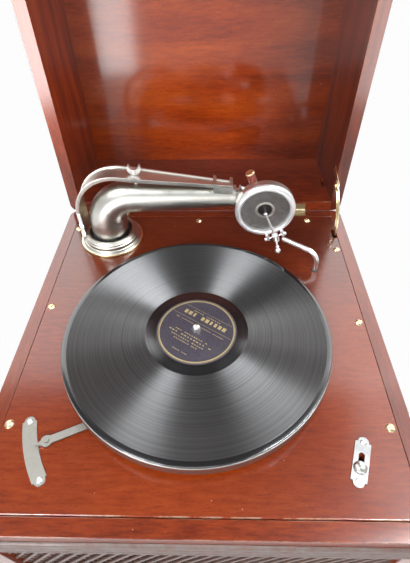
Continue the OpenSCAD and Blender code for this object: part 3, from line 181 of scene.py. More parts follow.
def mahogany(name, grain, seed, shade=1.0, gloss=0.34, coat=1.0, dusty=0.0, figured=0.0, smooth=0.16,
             paintedShading=(), calm=1.0):
    w = varnishedWood
    material, tree, shader = startMaterial(name, **{
        "Coat Weight": coat, "Coat Roughness": smooth, "Coat IOR": w["coatIor"],
        "Specular IOR Level": w["specular"], "Sheen Weight": w["haze"], "Sheen Roughness": w["hazeRough"]})
    drawn = tuple(w["stretch"] if axis == grain else 1.0 for axis in "xyz")
    along = objectPoint(tree, drawn, (seed * 0.31, seed * 0.17, seed * 0.23))
    plain = objectPoint(tree, (1, 1, 1), (seed * 0.5, seed * 0.9, seed * 0.4))
    figure = noise(tree, along, w["figure"] + w["figureMore"] * figured, 4, 0.55, 0.6)
    streak = noise(tree, along, w["streak"], 5, 0.68, 0.2)
    pore = noise(tree, along, w["pore"], 2, 0.5)
    cloud = noise(tree, plain, w["cloud"], 3, 0.55)
    share = 0.4 + 0.35 * figured
    broad = maths(tree, "MULTIPLY", figure, share)
    tone = maths(tree, "ADD", broad, maths(tree, "MULTIPLY", streak, 1.0 - share))
    dark, middle, light, poreTone = (
        tuple(c * shade for c in w[k]) for k in ("dark", "middle", "light", "poreTone"))
    colour = ramp(tree, tone, [(0.50 - 0.16 * calm, dark), (0.50, middle), (0.50 + 0.18 * calm, light)])
    poreMark = fade(tree, pore, 0.60, 0.70, 0.0, w["poreShow"])
    colour = blendColour(tree, poreMark, colour, poreTone)
    cloudTone = ramp(tree, cloud, [(0.3, w["cloudLow"]), (0.7, w["cloudHigh"])])
    colour = blendColour(tree, 1.0, colour, cloudTone, "MULTIPLY")
    axes = addNode(tree, "ShaderNodeSeparateXYZ", {"Vector": objectPoint(tree)})
    for axis, start, end, depth in paintedShading:                     # painted light and shade: the wood made darker or lighter along an axis, where less or more light falls
        tint = fade(tree, axes.outputs[axis], start, end, 1.0, depth)
        colour = blendColour(tree, 1.0, colour, tint, "MULTIPLY")
    cells = addNode(tree, "ShaderNodeTexVoronoi", {"Vector": plain, "Scale": w["specks"]})
    pick = addNode(tree, "ShaderNodeSeparateColor", {"Color": cells.outputs["Color"]})
    size = maths(tree, "MULTIPLY", pick.outputs[1], w["speckSize"])
    chosen = maths(tree, "GREATER_THAN", pick.outputs[0], w["speckFrom"])
    inside = maths(tree, "LESS_THAN", cells.outputs["Distance"], size)
    speck = maths(tree, "MULTIPLY", inside, chosen)
    colour = blendColour(tree, maths(tree, "MULTIPLY", speck, w["speckShow"]), colour, w["worn"])
    # pale rounded edges: partly wear, partly painted highlight where the edge catches light
    rub = fade(tree, noise(tree, plain, w["rub"], 4, 0.7), 0.45, 0.60)
    rubbedAndLitEdge = maths(tree, "MULTIPLY", attribute(tree, "edgeWearAndHighlight"), rub)
    colour = blendColour(tree, maths(tree, "MULTIPLY", rubbedAndLitEdge, w["rubShow"]), colour, w["worn"])
    if dusty:
        dust = fade(tree, noise(tree, plain, w["dust"], 4, 0.6), 0.3, 0.7, dusty * 0.6, dusty)
        colour = blendColour(tree, dust, colour, w["dustTone"])
    tree.links.new(colour, shader.inputs["Base Color"])
    tree.links.new(fade(tree, streak, 0.3, 0.7, gloss, gloss + 0.16), shader.inputs["Roughness"])
    hollows = maths(tree, "MULTIPLY", poreMark, 0.35)
    height = maths(tree, "SUBTRACT", maths(tree, "MULTIPLY", cloud, 0.8), hollows)
    bump(tree, shader, height, 0.18, w["relief"])
    return material


metalWear = {
    "blot": 60.0, "fine": 700.0, "hair": 1400.0, "drawn": 0.1, "stainShow": 0.6, "stainSpread": 0.25,
    "edgeShow": 0.35, "edgeLift": 1.25, "relief": 0.00002,
}


def wornMetal(name, base, stain, rough, seed=0.0, scratch=0.12, stainFrom=0.52, metallic=1.0):
    m = metalWear
    material, tree, shader = startMaterial(name, Metallic=metallic)
    plain = objectPoint(tree, (1, 1, 1), (seed, seed * 0.6, seed * 0.3))
    blot = noise(tree, plain, m["blot"], 5, 0.65, 0.4)
    fine = noise(tree, plain, m["fine"], 3, 0.6)
    hair = noise(tree, objectPoint(tree, (m["drawn"], 1, 1), (seed, 0, 0)), m["hair"], 2, 0.5)
    stained = fade(tree, blot, stainFrom, stainFrom + m["stainSpread"])
    colour = blendColour(tree, maths(tree, "MULTIPLY", stained, m["stainShow"]), base, stain)
    # lighter rounded edges: partly rubbed metal, partly painted highlight
    edge = maths(tree, "MULTIPLY", attribute(tree, "edgeWearAndHighlight"), m["edgeShow"])
    colour = blendColour(tree, edge, colour, tuple(min(1, c * m["edgeLift"]) for c in base))
    tree.links.new(colour, shader.inputs["Base Color"])
    blotted = fade(tree, blot, 0.35, 0.75, rough * 0.85, rough * 1.2)
    dull = maths(tree, "ADD", blotted, maths(tree, "MULTIPLY", fine, 0.05))
    tree.links.new(dull, shader.inputs["Roughness"])
    height = maths(tree, "ADD", maths(tree, "MULTIPLY", fine, 0.5), maths(tree, "MULTIPLY", hair, 0.5))
    bump(tree, shader, height, scratch, m["relief"])
    return material


def matteFinish(name, low, high, rough, scale=180.0, relief=0.25, depth=0.0002):
    material, tree, shader = startMaterial(name)
    grain = noise(tree, objectPoint(tree), scale, 5, 0.65)
    tree.links.new(ramp(tree, grain, [(0.35, low), (0.65, high)]), shader.inputs["Base Color"])
    dull = fade(tree, grain, 0.3, 0.7, rough * 0.85, min(1.0, rough * 1.15))
    tree.links.new(dull, shader.inputs["Roughness"])
    bump(tree, shader, grain, relief, depth)
    return material


# each wood's shade scales its colour: partly its own tone, partly painted light, with the lid panel made lighter
# and the board darker for the light they get
finishes = {
    # the lists after the woods are painted light and shade: darker toward the back, bottom and edges, lighter on
    # the side the lamps reach
    "boardWood": mahogany("boardWood", "x", 1.0, 0.9, calm=1.5, paintedShading=[
        ("Y", 0.02, 0.14, 0.5), ("X", 0.08, 0.15, 1.15)]),
    "lidPanelWood": mahogany("lidPanelWood", "x", 3.7, 1.4, figured=0.55, smooth=0.11, paintedShading=[
        ("X", 0.04, 0.13, 0.38), ("X", -0.06, -0.13, 0.44), ("Z", 0.30, 0.25, 0.9)]),
    "railWood": mahogany("railWood", "x", 5.1, 0.9, paintedShading=[("Y", 0.0, 0.18, 0.85)]),
    "sideWood": mahogany("sideWood", "y", 7.3, 0.85, figured=0.6),
    "lidSideWood": mahogany("lidSideWood", "z", 9.9, 0.95, figured=1.0, paintedShading=[
        ("Z", 0.34, 0.26, 0.62), ("X", -0.05, -0.15, 1.3), ("X", 0.05, 0.15, 0.75)]),
    "backWood": mahogany("backWood", "x", 12.2, 0.7),
    "darkWood": mahogany("darkWood", "x", 15.4, 0.4, gloss=0.4, coat=0.4, dusty=0.6),
    "dustyWood": mahogany("dustyWood", "x", 16.6, 0.5, gloss=0.4, coat=0.5, dusty=0.9),
    "nickel": wornMetal("nickel", (0.70, 0.69, 0.645), (0.56, 0.54, 0.48), 0.30, 0.0, 0.04, 0.48),
    "brightNickel": wornMetal("brightNickel", (0.90, 0.89, 0.875), (0.72, 0.70, 0.66), 0.33, 2.0, 0.03, 0.58),
    "ringNickel": wornMetal("ringNickel", (0.97, 0.97, 0.98), (0.86, 0.86, 0.87), 0.30, 3.0, 0.03, 0.50, 0.5),
    "dullNickel": wornMetal("dullNickel", (0.62, 0.61, 0.55), (0.45, 0.42, 0.33), 0.36, 4.0, 0.08, 0.48),
    "plateNickel": wornMetal("plateNickel", (0.32, 0.305, 0.275), (0.22, 0.21, 0.175), 0.46, 5.0, 0.1, 0.42),
    "brakeNickel": wornMetal("brakeNickel", (0.27, 0.27, 0.268), (0.17, 0.17, 0.165), 0.46, 5.5, 0.1, 0.44),
    "tableSteel": wornMetal("tableSteel", (0.38, 0.37, 0.36), (0.28, 0.27, 0.25), 0.40, 22.0, 0.1),
    "hingeBrass": wornMetal("hingeBrass", (0.50, 0.43, 0.28), (0.30, 0.25, 0.14), 0.34, 7.0),
    "agedBrass": wornMetal("agedBrass", (0.80, 0.68, 0.42), (0.48, 0.38, 0.2), 0.28, 6.0),
    "gearBrass": wornMetal("gearBrass", (0.74, 0.56, 0.25), (0.42, 0.31, 0.15), 0.3, 8.0),
    "steel": wornMetal("steel", (0.58, 0.58, 0.58), (0.36, 0.34, 0.31), 0.3, 10.0),
    "blackIron": wornMetal("blackIron", (0.055, 0.055, 0.06), (0.12, 0.09, 0.07), 0.45, 12.0, 0.3, 0.6, 0.4),
    "faceGrey": wornMetal("faceGrey", (0.27, 0.255, 0.245), (0.10, 0.095, 0.09), 0.4, 14.0, 0.3, 0.40, 0.7),
    "bareWood": matteFinish("bareWood", (0.30, 0.19, 0.10), (0.46, 0.32, 0.19), 0.7, 60.0),
    "gripWood": mahogany("gripWood", "x", 17.0, 0.4, gloss=0.3, coat=0.3),
    "rubber": matteFinish("rubber", (0.05, 0.045, 0.04), (0.075, 0.065, 0.06), 0.75, 900.0),
    "darkMica": matteFinish("darkMica", (0.018, 0.016, 0.015), (0.035, 0.03, 0.027), 0.4, 300.0),
    # turntable skirt: board-brown, a painted reflection of the board with painted shade
    "skirtPaintedReflection": matteFinish("skirtPaintedReflection", (0.13, 0.034, 0.018), (0.18, 0.05, 0.027), 0.7, 400.0),
    "felt": matteFinish("felt", (0.12, 0.03, 0.028), (0.2, 0.055, 0.05), 0.95, 1600.0, 0.6),
}
print("finishes made:", len(finishes))


handleLook = {
    "swirl": 260.0, "drawn": 0.3, "coat": 0.5, "coatRough": 0.08, "relief": 0.0001,
    "tones": [(0.32, (0.16, 0.022, 0.014)), (0.55, (0.34, 0.055, 0.03)), (0.72, (0.46, 0.11, 0.06))],
}


def handleFinish():
    h = handleLook
    material, tree, shader = startMaterial("handleRed", **{
        "Coat Weight": h["coat"], "Coat Roughness": h["coatRough"]})
    swirl = noise(tree, objectPoint(tree, (1, 1, h["drawn"])), h["swirl"], 4, 0.6, 1.2)
    tree.links.new(ramp(tree, swirl, h["tones"]), shader.inputs["Base Color"])
    tree.links.new(fade(tree, swirl, 0.3, 0.7, 0.22, 0.34), shader.inputs["Roughness"])
    bump(tree, shader, swirl, 0.1, h["relief"])
    return material


finishes["handleRed"] = handleFinish()

recordLook = {
    "centre": (0.0032, 0.0245, 0), "black": (0.012, 0.012, 0.013), "grey": (0.026, 0.026, 0.028),
    "ior": 1.87, "drawn": 0.87, "quarter": 0.25, "ring": 420.0, "dust": 90.0,
    "grooveFrom": 0.0485, "grooveTo": 0.1205, "shine": (0.32, 0.68), "rough": (0.28, 0.40),
    "plainRough": 0.16, "dustRough": 0.05, "relief": 0.00005,
}


def shellacFinish():
    r = recordLook
    material, tree, shader = startMaterial("shellac", **{
        "Anisotropic": r["drawn"], "Anisotropic Rotation": r["quarter"], "IOR": r["ior"]})
    point = objectPoint(tree, (1, 1, 0), r["centre"])
    radius = addNode(tree, "ShaderNodeVectorMath", {0: point}, operation="LENGTH").outputs["Value"]
    rings = addNode(tree, "ShaderNodeCombineXYZ", {"X": radius}).outputs[0]
    bands = noise(tree, rings, r["ring"], 4, 0.7)
    dust = noise(tree, objectPoint(tree), r["dust"], 5, 0.7)
    colour = ramp(tree, bands, [(0.35, r["black"]), (0.65, r["grey"])])
    tree.links.new(colour, shader.inputs["Base Color"])
    tree.links.new(fade(tree, bands, 0.3, 0.7, *r["shine"]), shader.inputs["Specular IOR Level"])
    outside = maths(tree, "GREATER_THAN", radius, r["grooveFrom"])
    grooved = maths(tree, "MULTIPLY", outside, maths(tree, "LESS_THAN", radius, r["grooveTo"]))
    dusted = maths(tree, "MULTIPLY", dust, r["dustRough"])
    rough = maths(tree, "ADD", fade(tree, bands, 0.3, 0.7, *r["rough"]), dusted)
    tree.links.new(mixValue(tree, grooved, r["plainRough"], rough), shader.inputs["Roughness"])
    around = addNode(tree, "ShaderNodeTangent", direction_type="RADIAL", axis="Z").outputs[0]
    tree.links.new(around, shader.inputs["Tangent"])
    bump(tree, shader, maths(tree, "MULTIPLY", bands, grooved), 0.15, r["relief"])
    return material


finishes["shellac"] = shellacFinish()


labelLook = {
    "ior": 1.4, "fibre": 420.0, "rub": 45.0, "low": (0.072, 0.063, 0.092), "high": (0.106, 0.093, 0.128),
    "rubTone": (0.15, 0.13, 0.14), "rubShow": 0.35, "relief": 0.00005,
}


def labelFinish():
    k = labelLook
    material, tree, shader = startMaterial("labelPaper", IOR=k["ior"])
    fibre = noise(tree, objectPoint(tree), k["fibre"], 5, 0.7)
    rub = noise(tree, objectPoint(tree), k["rub"], 4, 0.6)
    colour = ramp(tree, fibre, [(0.35, k["low"]), (0.65, k["high"])])
    colour = blendColour(tree, fade(tree, rub, 0.55, 0.75, 0.0, k["rubShow"]), colour, k["rubTone"])
    tree.links.new(colour, shader.inputs["Base Color"])
    tree.links.new(fade(tree, rub, 0.3, 0.7, 0.34, 0.5), shader.inputs["Roughness"])
    bump(tree, shader, fibre, 0.1, k["relief"])
    return material


finishes["labelPaper"] = labelFinish()
finishes["goldPrint"] = wornMetal(
    "goldPrint", (0.72, 0.60, 0.30), (0.38, 0.31, 0.16), 0.42, 20.0, 0.1, 0.5, 0.55)


# mesh tools
def finishPiece(name, bm, body, finish, stands=(), sharp=32.0, place=None, flat=True):
    bm.transform(toMetres @ place if place is not None else toMetres)
    mesh = bpy.data.meshes.new(name)
    bm.to_mesh(mesh)
    bm.free()
    mesh.shade_smooth()
    mesh.set_sharp_from_angle(angle=math.radians(sharp))
    piece = bpy.data.objects.new(name, mesh)
    bpy.context.scene.collection.objects.link(piece)
    if flat:
        flatten = piece.modifiers.new("flatFaces", "WEIGHTED_NORMAL")
        flatten.keep_sharp = True
    for one in finish if isinstance(finish, (list, tuple)) else [finish]:
        mesh.materials.append(finishes[one])
    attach(piece, body)
    if stands:
        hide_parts(*stands)
    return piece


hingeLine = {"y": 191.0, "z": 225.25, "reach": 2.0}


def onHingeLine(edge):
    h = hingeLine
    return all(abs(v.co.y - h["y"]) < h["reach"] and abs(v.co.z - h["z"]) < h["reach"] for v in edge.verts)


def bevelled(bm, edges, width, segments):
    made = bmesh.ops.bevel(bm, geom=edges, offset=width, offset_type="OFFSET", segments=segments, profile=0.5,
                           affect="EDGES", clamp_overlap=True, material=-1)
    return made["faces"]


def roundEdges(bm, width, segments=2, angle=30.0):
    least = math.radians(angle)
    sharp = [e for e in bm.edges
             if len(e.link_faces) == 2 and e.calc_face_angle(0) > least and not onHingeLine(e)]
    return bevelled(bm, sharp, width, segments)


merge = {"doubles": 0.001, "spun": 0.0001, "thin": 0.00005, "flat": 0.4}


def cadCopy(node):
    bm = bmesh.new()
    bm.from_mesh(nodes[node].data)
    bm.transform(Matrix.Scale(1000, 4))
    bmesh.ops.remove_doubles(bm, verts=bm.verts, dist=merge["doubles"])
    bmesh.ops.dissolve_limit(bm, angle_limit=math.radians(merge["flat"]), use_dissolve_boundaries=False,
                             verts=bm.verts, edges=bm.edges)
    return bm


def camel(node):
    first, *rest = node.split("_")
    return first + "".join(word.capitalize() for word in rest)


def softened(node, width, finish, segments=2, angle=30.0, sharp=32.0):
    bm = cadCopy(node)
    wearAndHighlight = bm.faces.layers.float.new("edgeWearAndHighlight")
    for face in roundEdges(bm, width, segments, angle):
        face[wearAndHighlight] = 1.0
    return finishPiece(camel(node), bm, bodyOf[node], finish, [node], sharp)


def lathe(profile, steps=96):
    bm = bmesh.new()
    points = [bm.verts.new((r, 0, z)) for r, z in profile]
    for first, second in zip(points, points[1:] + points[:1]):
        bm.edges.new((first, second))
    bmesh.ops.spin(bm, geom=bm.verts[:] + bm.edges[:], cent=(0, 0, 0), axis=(0, 0, 1), dvec=(0, 0, 0),
                   angle=math.tau, steps=steps, use_merge=True, use_normal_flip=False, use_duplicate=False)
    bmesh.ops.remove_doubles(bm, verts=bm.verts, dist=merge["spun"])
    bmesh.ops.dissolve_degenerate(bm, edges=bm.edges, dist=merge["thin"])
    bmesh.ops.recalc_face_normals(bm, faces=bm.faces)
    return bm


def block(size, centre, width=0.0, segments=2):
    bm = bmesh.new()
    bmesh.ops.create_cube(bm, size=1.0, matrix=Matrix.Translation(centre) @ Matrix.Diagonal((*size, 1)))
    if width:
        roundEdges(bm, width, segments)
    return bm


def joined(*parts):
    whole = bmesh.new()
    for part in parts:
        kept = bpy.data.meshes.new("kept")
        part.to_mesh(kept)
        part.free()
        whole.from_mesh(kept)
        bpy.data.meshes.remove(kept)
    return whole


def placed(bm, matrix):
    bm.transform(matrix)
    return bm


def secondFinish(bm, chosen):
    for face in bm.faces:
        face.material_index = 1 if chosen(face.calc_center_median()) else 0


# wooden case and lid
woodPieces = {
    "case_sides": ("sideWood", 1.6), "case_front": ("railWood", 0.6), "case_back": ("backWood", 1.0),
    "lid_panel": ("lidPanelWood", 1.2), "lid_sides": ("lidSideWood", 1.4),
    "lid_ends": ("railWood", 1.4), "plinth": ("darkWood", 1.6),
}
for node, (finish, width) in woodPieces.items():
    softened(node, width, finish, 3)
board = {"edge": 0.5, "frontEdge": 1.0, "frontWear": 2.6, "near": 0.01}


def makeBoard():
    bm = cadCopy("motor_board")
    wearAndHighlight = bm.faces.layers.float.new("edgeWearAndHighlight")
    front = min(v.co.y for v in bm.verts) + board["near"]
    top = max(v.co.z for v in bm.verts) - board["near"]
    edges = [e for e in bm.edges if all(v.co.y < front and v.co.z > top for v in e.verts)]
    # the board's front edge made paler still: partly wear, partly painted highlight of the lamp on the rounded
    # edge
    for face in bevelled(bm, edges, board["frontEdge"], 2):
        face[wearAndHighlight] = board["frontWear"]
    for face in roundEdges(bm, board["edge"], 3):
        face[wearAndHighlight] = 1.0
    finishPiece("motorBoard", bm, bodyOf["motor_board"], "boardWood", ["motor_board"])


makeBoard()
softened("front_moulding", 0.3, "dustyWood", 1, 40.0, 50.0)
softened("grille", 0.35, "darkWood", 1)

# painted shade: a thin dark felt strip in the hinge seam, a dark sheet standing for the seam's shade
seamShadeStrip = {
    "high": 0.4, "deep": 1.5, "below": 0.25,
    "spans": ((-168.0, -134.8), (-100.8, 100.8), (134.8, 168.0)),
}


def makeSeamShadeStrip():
    d = seamShadeStrip
    low, back = hingeLine["z"] - d["below"], hingeLine["y"]
    middle = (back - d["deep"] / 2, low + d["high"] / 2)
    parts = [block((b - a, d["deep"], d["high"]), ((a + b) / 2, *middle)) for a, b in d["spans"]]
    finishPiece("seamShadeStrip", joined(*parts), "case", "felt")


makeSeamShadeStrip()
print("case and lid made")

# brass fittings of case and lid
brassPieces = {
    "board_screws": ("agedBrass", 0.25), "hinge_case_leaves": ("hingeBrass", 0.25),
    "hinge_lid_leaves": ("hingeBrass", 0.25), "stay_quadrant": ("agedBrass", 0.35),
    "stay_finger": ("agedBrass", 0.3), "crank_escutcheon": ("agedBrass", 0.5),
}
for node, (finish, width) in brassPieces.items():
    softened(node, width, finish)

# turntable and record
turntable = {"rim": 243.7, "skirt": 122.0, "edge": 0.7}


def makeTurntable():
    rim = turntable["rim"]
    bm = cadCopy("turntable")
    whole = bm.verts[:] + bm.edges[:] + bm.faces[:]
    bmesh.ops.bisect_plane(bm, geom=whole, dist=merge["doubles"], plane_co=(0, 0, rim), plane_no=(0, 0, 1))
    roundEdges(bm, turntable["edge"], 2, 40.0)
    centre = deckPlace.translation.xy
    # skirt below a bright rim painted board-brown: a painted reflection of the board, dark as painted shade
    secondFinish(bm, lambda at: (at.xy - centre).length > turntable["skirt"] and at.z < rim)
    twoFinishes = ["tableSteel", "skirtPaintedReflection"]
    finishPiece("turntable", bm, bodyOf["turntable"], twoFinishes, ["turntable"])


makeTurntable()
softened("spindle", 0.2, "brightNickel", 1, 40.0)

record = {
    "radius": 125.0, "hole": 3.7, "low": 19.9, "top": 22.0, "rimBand": 121.0,
    "grooveOut": 120.0, "grooveIn": 49.0, "pitch": 0.6, "depth": 0.173, "runOut": 39.2, "steps": 160,
    "edge": 0.7, "lip": (0.5, 0.15), "flat": 1.2, "step": 0.6, "rimDrop": 0.06, "grooveDrop": 0.03,
    "runDrop": 0.05, "seatDrop": 0.01, "holeEdge": (0.5, 0.3),
}


def makeRecord():
    r = record
    radius, low, top, edge = r["radius"], r["low"], r["top"], r["edge"]
    profile = [(r["hole"], low), (radius - edge, low), (radius, low + edge), (radius, top - edge),
               (radius - r["lip"][0], top - r["lip"][1]), (radius - r["flat"], top),
               (r["rimBand"] + r["step"], top), (r["rimBand"], top - r["rimDrop"])]
    count = int((r["grooveOut"] - r["grooveIn"]) / r["pitch"])
    for i in range(count + 1):
        at = r["grooveOut"] - i * r["pitch"]
        profile.append((at, top - r["grooveDrop"]))
        profile.append((at - r["pitch"] / 2, top - r["grooveDrop"] - r["depth"]))
    run, seat = top - r["runDrop"], top - r["seatDrop"]
    profile += [(r["grooveIn"] - r["flat"], run), (r["runOut"] + r["step"], run), (r["runOut"], seat),
                (r["hole"] + r["holeEdge"][0], seat), (r["hole"], top - r["holeEdge"][1])]
    disc = lathe(profile, r["steps"])
    finishPiece("record", disc, "record", "shellac", ["record"], 20.0, deckPlace, False)


makeRecord()

label = {
    "radius": 38.0, "low": 22.0, "top": 22.1, "hole": 4.0, "holeTop": 4.2, "edge": (0.15, 0.03),
    "turned": -33.0, "print": 0.06, "steps": 128,
    "rings": ((34.9, 36.0), (36.5, 36.75)),
    "rules": ((21.5, 26.0, 0.22), (8.2, 32.5, 0.22), (-2.0, 5.5, 0.2)),       # height, half length, thickness
    "rows": ((14.2, 24.0, 4.4, 4.8), (18.6, 16.0, 0.8, 2.4), (-8.0, 19.0, 0.8, 2.6), (-11.2, 24.0, 1.0, 3.4),
             (-14.6, 19.0, 0.8, 2.6), (-17.6, 14.0, 0.8, 2.2), (4.6, 27.0, 0.7, 2.0), (-27.6, 8.0, 0.7, 1.6)),
}


def makeLabel():
    k = label
    low, top, rad, hole = k["low"], k["top"], k["radius"], k["hole"]
    inset, drop = k["edge"]
    disc = lathe([(hole, low), (rad, low), (rad, top - drop), (rad - inset, top), (k["holeTop"], top),
                  (hole, top - drop)], k["steps"])
    finishPiece("recordLabel", disc, "record", "labelPaper", ["record_label"], 40.0, deckPlace)
    up = top + k["print"]
    level = (top + up) / 2
    parts = []
    for inner, outer in k["rings"]:
        parts.append(lathe([(inner, top), (outer, top), (outer, up), (inner, up)], k["steps"]))
    for v, half, thick in k["rules"]:
        parts.append(block((2 * half, thick, k["print"]), (0, v, level)))
    for v, half, tall, step in k["rows"]:                     # short bars of uneven length, with gaps
        count = int(2 * half / step)
        for i in range(count):
            if (i * 7 + int(abs(v) * 3)) % 9 == 0:
                continue
            long = step * (0.45 + 0.3 * ((i * 5 + 2) % 4) / 3)
            parts.append(block((long, tall, k["print"]), (-half + (i + 0.5) * step, v, level)))
    bars = placed(joined(*parts), turn(k["turned"], "Z"))
    finishPiece("labelPrint", bars, "record", "goldPrint", (), 40.0, deckPlace)


makeLabel()
print("record made")

# tone arm
tube = {
    "foot": 8.0, "elbowLow": 30.0, "bend": 31.0, "wide": 22.0, "elbowEnd": 18.0, "end": 11.5, "reach": 146.0,
    "centre": 61.0, "sides": 72, "elbowSteps": 28, "wall": 1.8, "cuts": 6, "near": 1e-4,
}


def vertsOf(made):
    return [g for g in made if isinstance(g, bmesh.types.BMVert)]


def edgesOf(made):
    return [g for g in made if isinstance(g, bmesh.types.BMEdge)]


def facesOf(made):
    return [g for g in made if isinstance(g, bmesh.types.BMFace)]


def spinQuarter(bm, geom, centre, degrees, steps):
    return bmesh.ops.spin(bm, geom=geom, cent=centre, axis=(0, 1, 0), dvec=(0, 0, 0), angle=math.radians(degrees),
                          steps=steps, use_merge=False, use_normal_flip=False, use_duplicate=False)["geom_last"]


def makeTube():
    t = tube
    bm = bmesh.new()
    bmesh.ops.create_circle(bm, cap_ends=False, segments=t["sides"], radius=t["wide"],
                            matrix=move(0, 0, t["elbowLow"]))
    first = bm.edges[:]
    low = bmesh.ops.extrude_edge_only(bm, edges=first)["geom"]
    bmesh.ops.translate(bm, verts=vertsOf(low), vec=(0, 0, t["foot"] - t["elbowLow"]))
    lastEdges = edgesOf(spinQuarter(bm, first, (t["bend"], 0, t["elbowLow"]), 90, t["elbowSteps"]))
    for v in bm.verts:                                        # the elbow narrows as it turns
        if v.co.z > t["elbowLow"] + t["near"] or v.co.x > t["bend"] - t["near"]:
            angle = math.atan2(v.co.z - t["elbowLow"], t["bend"] - v.co.x)
            along = t["bend"] * (1 - math.cos(angle))
            middle = Vector((along, 0, t["elbowLow"] + t["bend"] * math.sin(angle)))
            share = angle / math.radians(90)
            size = (t["wide"] + (t["elbowEnd"] - t["wide"]) * share) / t["wide"]
            v.co = middle + (v.co - middle) * size
    cuts = t["cuts"]
    length = (t["reach"] - t["bend"]) / cuts
    axis = move(0, 0, -t["centre"])
    for i in range(cuts):
        grown = bmesh.ops.extrude_edge_only(bm, edges=lastEdges)["geom"]
        ring, lastEdges = vertsOf(grown), edgesOf(grown)
        before = t["elbowEnd"] + (t["end"] - t["elbowEnd"]) * i / cuts
        after = t["elbowEnd"] + (t["end"] - t["elbowEnd"]) * (i + 1) / cuts
        bmesh.ops.translate(bm, verts=ring, vec=(length, 0, 0))
        bmesh.ops.scale(bm, verts=ring, vec=(1, after / before, after / before), space=axis)
    bmesh.ops.remove_doubles(bm, verts=bm.verts, dist=merge["doubles"])
    bmesh.ops.recalc_face_normals(bm, faces=bm.faces)
    bmesh.ops.solidify(bm, geom=bm.faces[:], thickness=t["wall"])
    bmesh.ops.recalc_face_normals(bm, faces=bm.faces)
    finishPiece("toneTube", bm, "tone_arm", "nickel", ["tone_tube"], 40.0, armPlace)


makeTube()

strap = {
    "left": -32.5, "foot": 6.3, "archX": 17.5, "archZ": 44.0, "radius": 50.0, "slope": 7.2, "end": 147.0,
    "wide": 25.5, "endWide": 11.0, "taperFrom": 40.0, "thick": 4.5, "rib": 2.8, "groove": 1.6, "steps": 40,
    "cuts": 6, "edge": 0.45,
}

collar = {
    "profile": [(21.0, 6.5), (32.4, 6.5), (33.0, 7.0), (33.0, 8.8), (32.5, 9.5), (31.7, 9.8), (31.5, 10.2),
                (31.5, 11.2), (31.1, 11.9), (30.2, 12.2), (29.7, 12.5), (29.5, 13.2), (28.9, 13.8), (28.0, 14.0),
                (26.6, 14.0), (25.9, 13.7), (25.5, 13.1), (25.5, 8.7), (21.0, 8.7)],
    "gapRadius": 26.2, "gapTop": 13.3,
}


def makeCollar():
    bm = lathe(collar["profile"], 128)
    whole = bm.verts[:] + bm.edges[:] + bm.faces[:]
    seat = strap["left"] + strap["thick"]                     # flat that the strap is fixed to
    bmesh.ops.bisect_plane(bm, geom=whole, dist=merge["doubles"], plane_co=(seat, 0, 0), plane_no=(-1, 0, 0),
                           clear_outer=True)
    bmesh.ops.holes_fill(bm, edges=[e for e in bm.edges if e.is_boundary], sides=0)
    # painted shade: black iron inside the gap round the tube, where it lies in shade
    secondFinish(bm, lambda at: at.xy.length < collar["gapRadius"] and at.z < collar["gapTop"])
    twoFinishes = ["dullNickel", "blackIron"]
    finishPiece("armCollar", bm, "tone_arm", twoFinishes, ["arm_collar"], 50.0, armPlace)


makeCollar()

base = {
    "profile": [(22.3, -21.9), (27.4, -21.9), (27.4, 0.03), (37.4, 0.03), (38.0, 0.6), (38.0, 2.0), (37.6, 2.7),
                (36.8, 3.1), (35.9, 3.0), (35.4, 3.2), (34.9, 3.9), (34.5, 5.1), (33.9, 5.8), (33.1, 6.0),
                (22.3, 6.0)],
    "wornFrom": 36.6,
}


def makeBase():
    bm = lathe(base["profile"], 128)
    # plating worn off the outer bead
    secondFinish(bm, lambda at: at.xy.length > base["wornFrom"])
    finishPiece("armBase", bm, "case", ["dullNickel", "agedBrass"], ["arm_base"], 50.0, armPlace)


makeBase()


def makeStrap():
    s = strap
    half = s["wide"] / 2
    outline = [(0, -half), (0, -half + s["rib"]), (s["groove"], -half + s["rib"]), (s["groove"], half - s["rib"]),
               (0, half - s["rib"]), (0, half), (s["thick"], half), (s["thick"], -half)]
    bm = bmesh.new()
    face = bm.faces.new([bm.verts.new((s["left"] + n, y, s["foot"])) for n, y in outline])
    grown = bmesh.ops.extrude_face_region(bm, geom=[face])["geom"]
    bmesh.ops.translate(bm, verts=vertsOf(grown), vec=(0, 0, s["archZ"] - s["foot"]))
    arch = spinQuarter(bm, facesOf(grown), (s["archX"], 0, s["archZ"]), 90 + s["slope"], s["steps"])
    last = facesOf(arch)
    slope = math.radians(s["slope"])
    start = s["archX"] + s["radius"] * math.sin(slope)
    length = (s["end"] - start) / s["cuts"]
    for _ in range(s["cuts"]):
        grown = bmesh.ops.extrude_face_region(bm, geom=last)["geom"]
        bmesh.ops.delete(bm, geom=last, context="FACES_ONLY")
        last = facesOf(grown)
        bmesh.ops.translate(bm, verts=vertsOf(grown), vec=(length, 0, -length * math.tan(slope)))
    for v in bm.verts:
        share = min(1.0, max(0.0, (v.co.x - s["taperFrom"]) / (s["end"] - s["taperFrom"])))
        if v.co.z > s["archZ"]:
            v.co.y *= 1 + (s["endWide"] / s["wide"] - 1) * share
    bmesh.ops.remove_doubles(bm, verts=bm.verts, dist=merge["doubles"])
    bmesh.ops.recalc_face_normals(bm, faces=bm.faces)
    wearAndHighlight = bm.faces.layers.float.new("edgeWearAndHighlight")
    for rounded in roundEdges(bm, s["edge"], 2, 50.0):
        rounded[wearAndHighlight] = 1.0
    finishPiece("armStrap", bm, "tone_arm", "nickel", ["arm_strap"], 35.0, armPlace)


makeStrap()

softened("arm_clamp", 0.5, "nickel", 2, 40.0)
softened("strap_screw", 0.5, "brightNickel")
softened("soundbox_neck", 0.4, "nickel", 2, 40.0)
softened("lock_screw", 0.35, "brightNickel")
print("tone arm made")

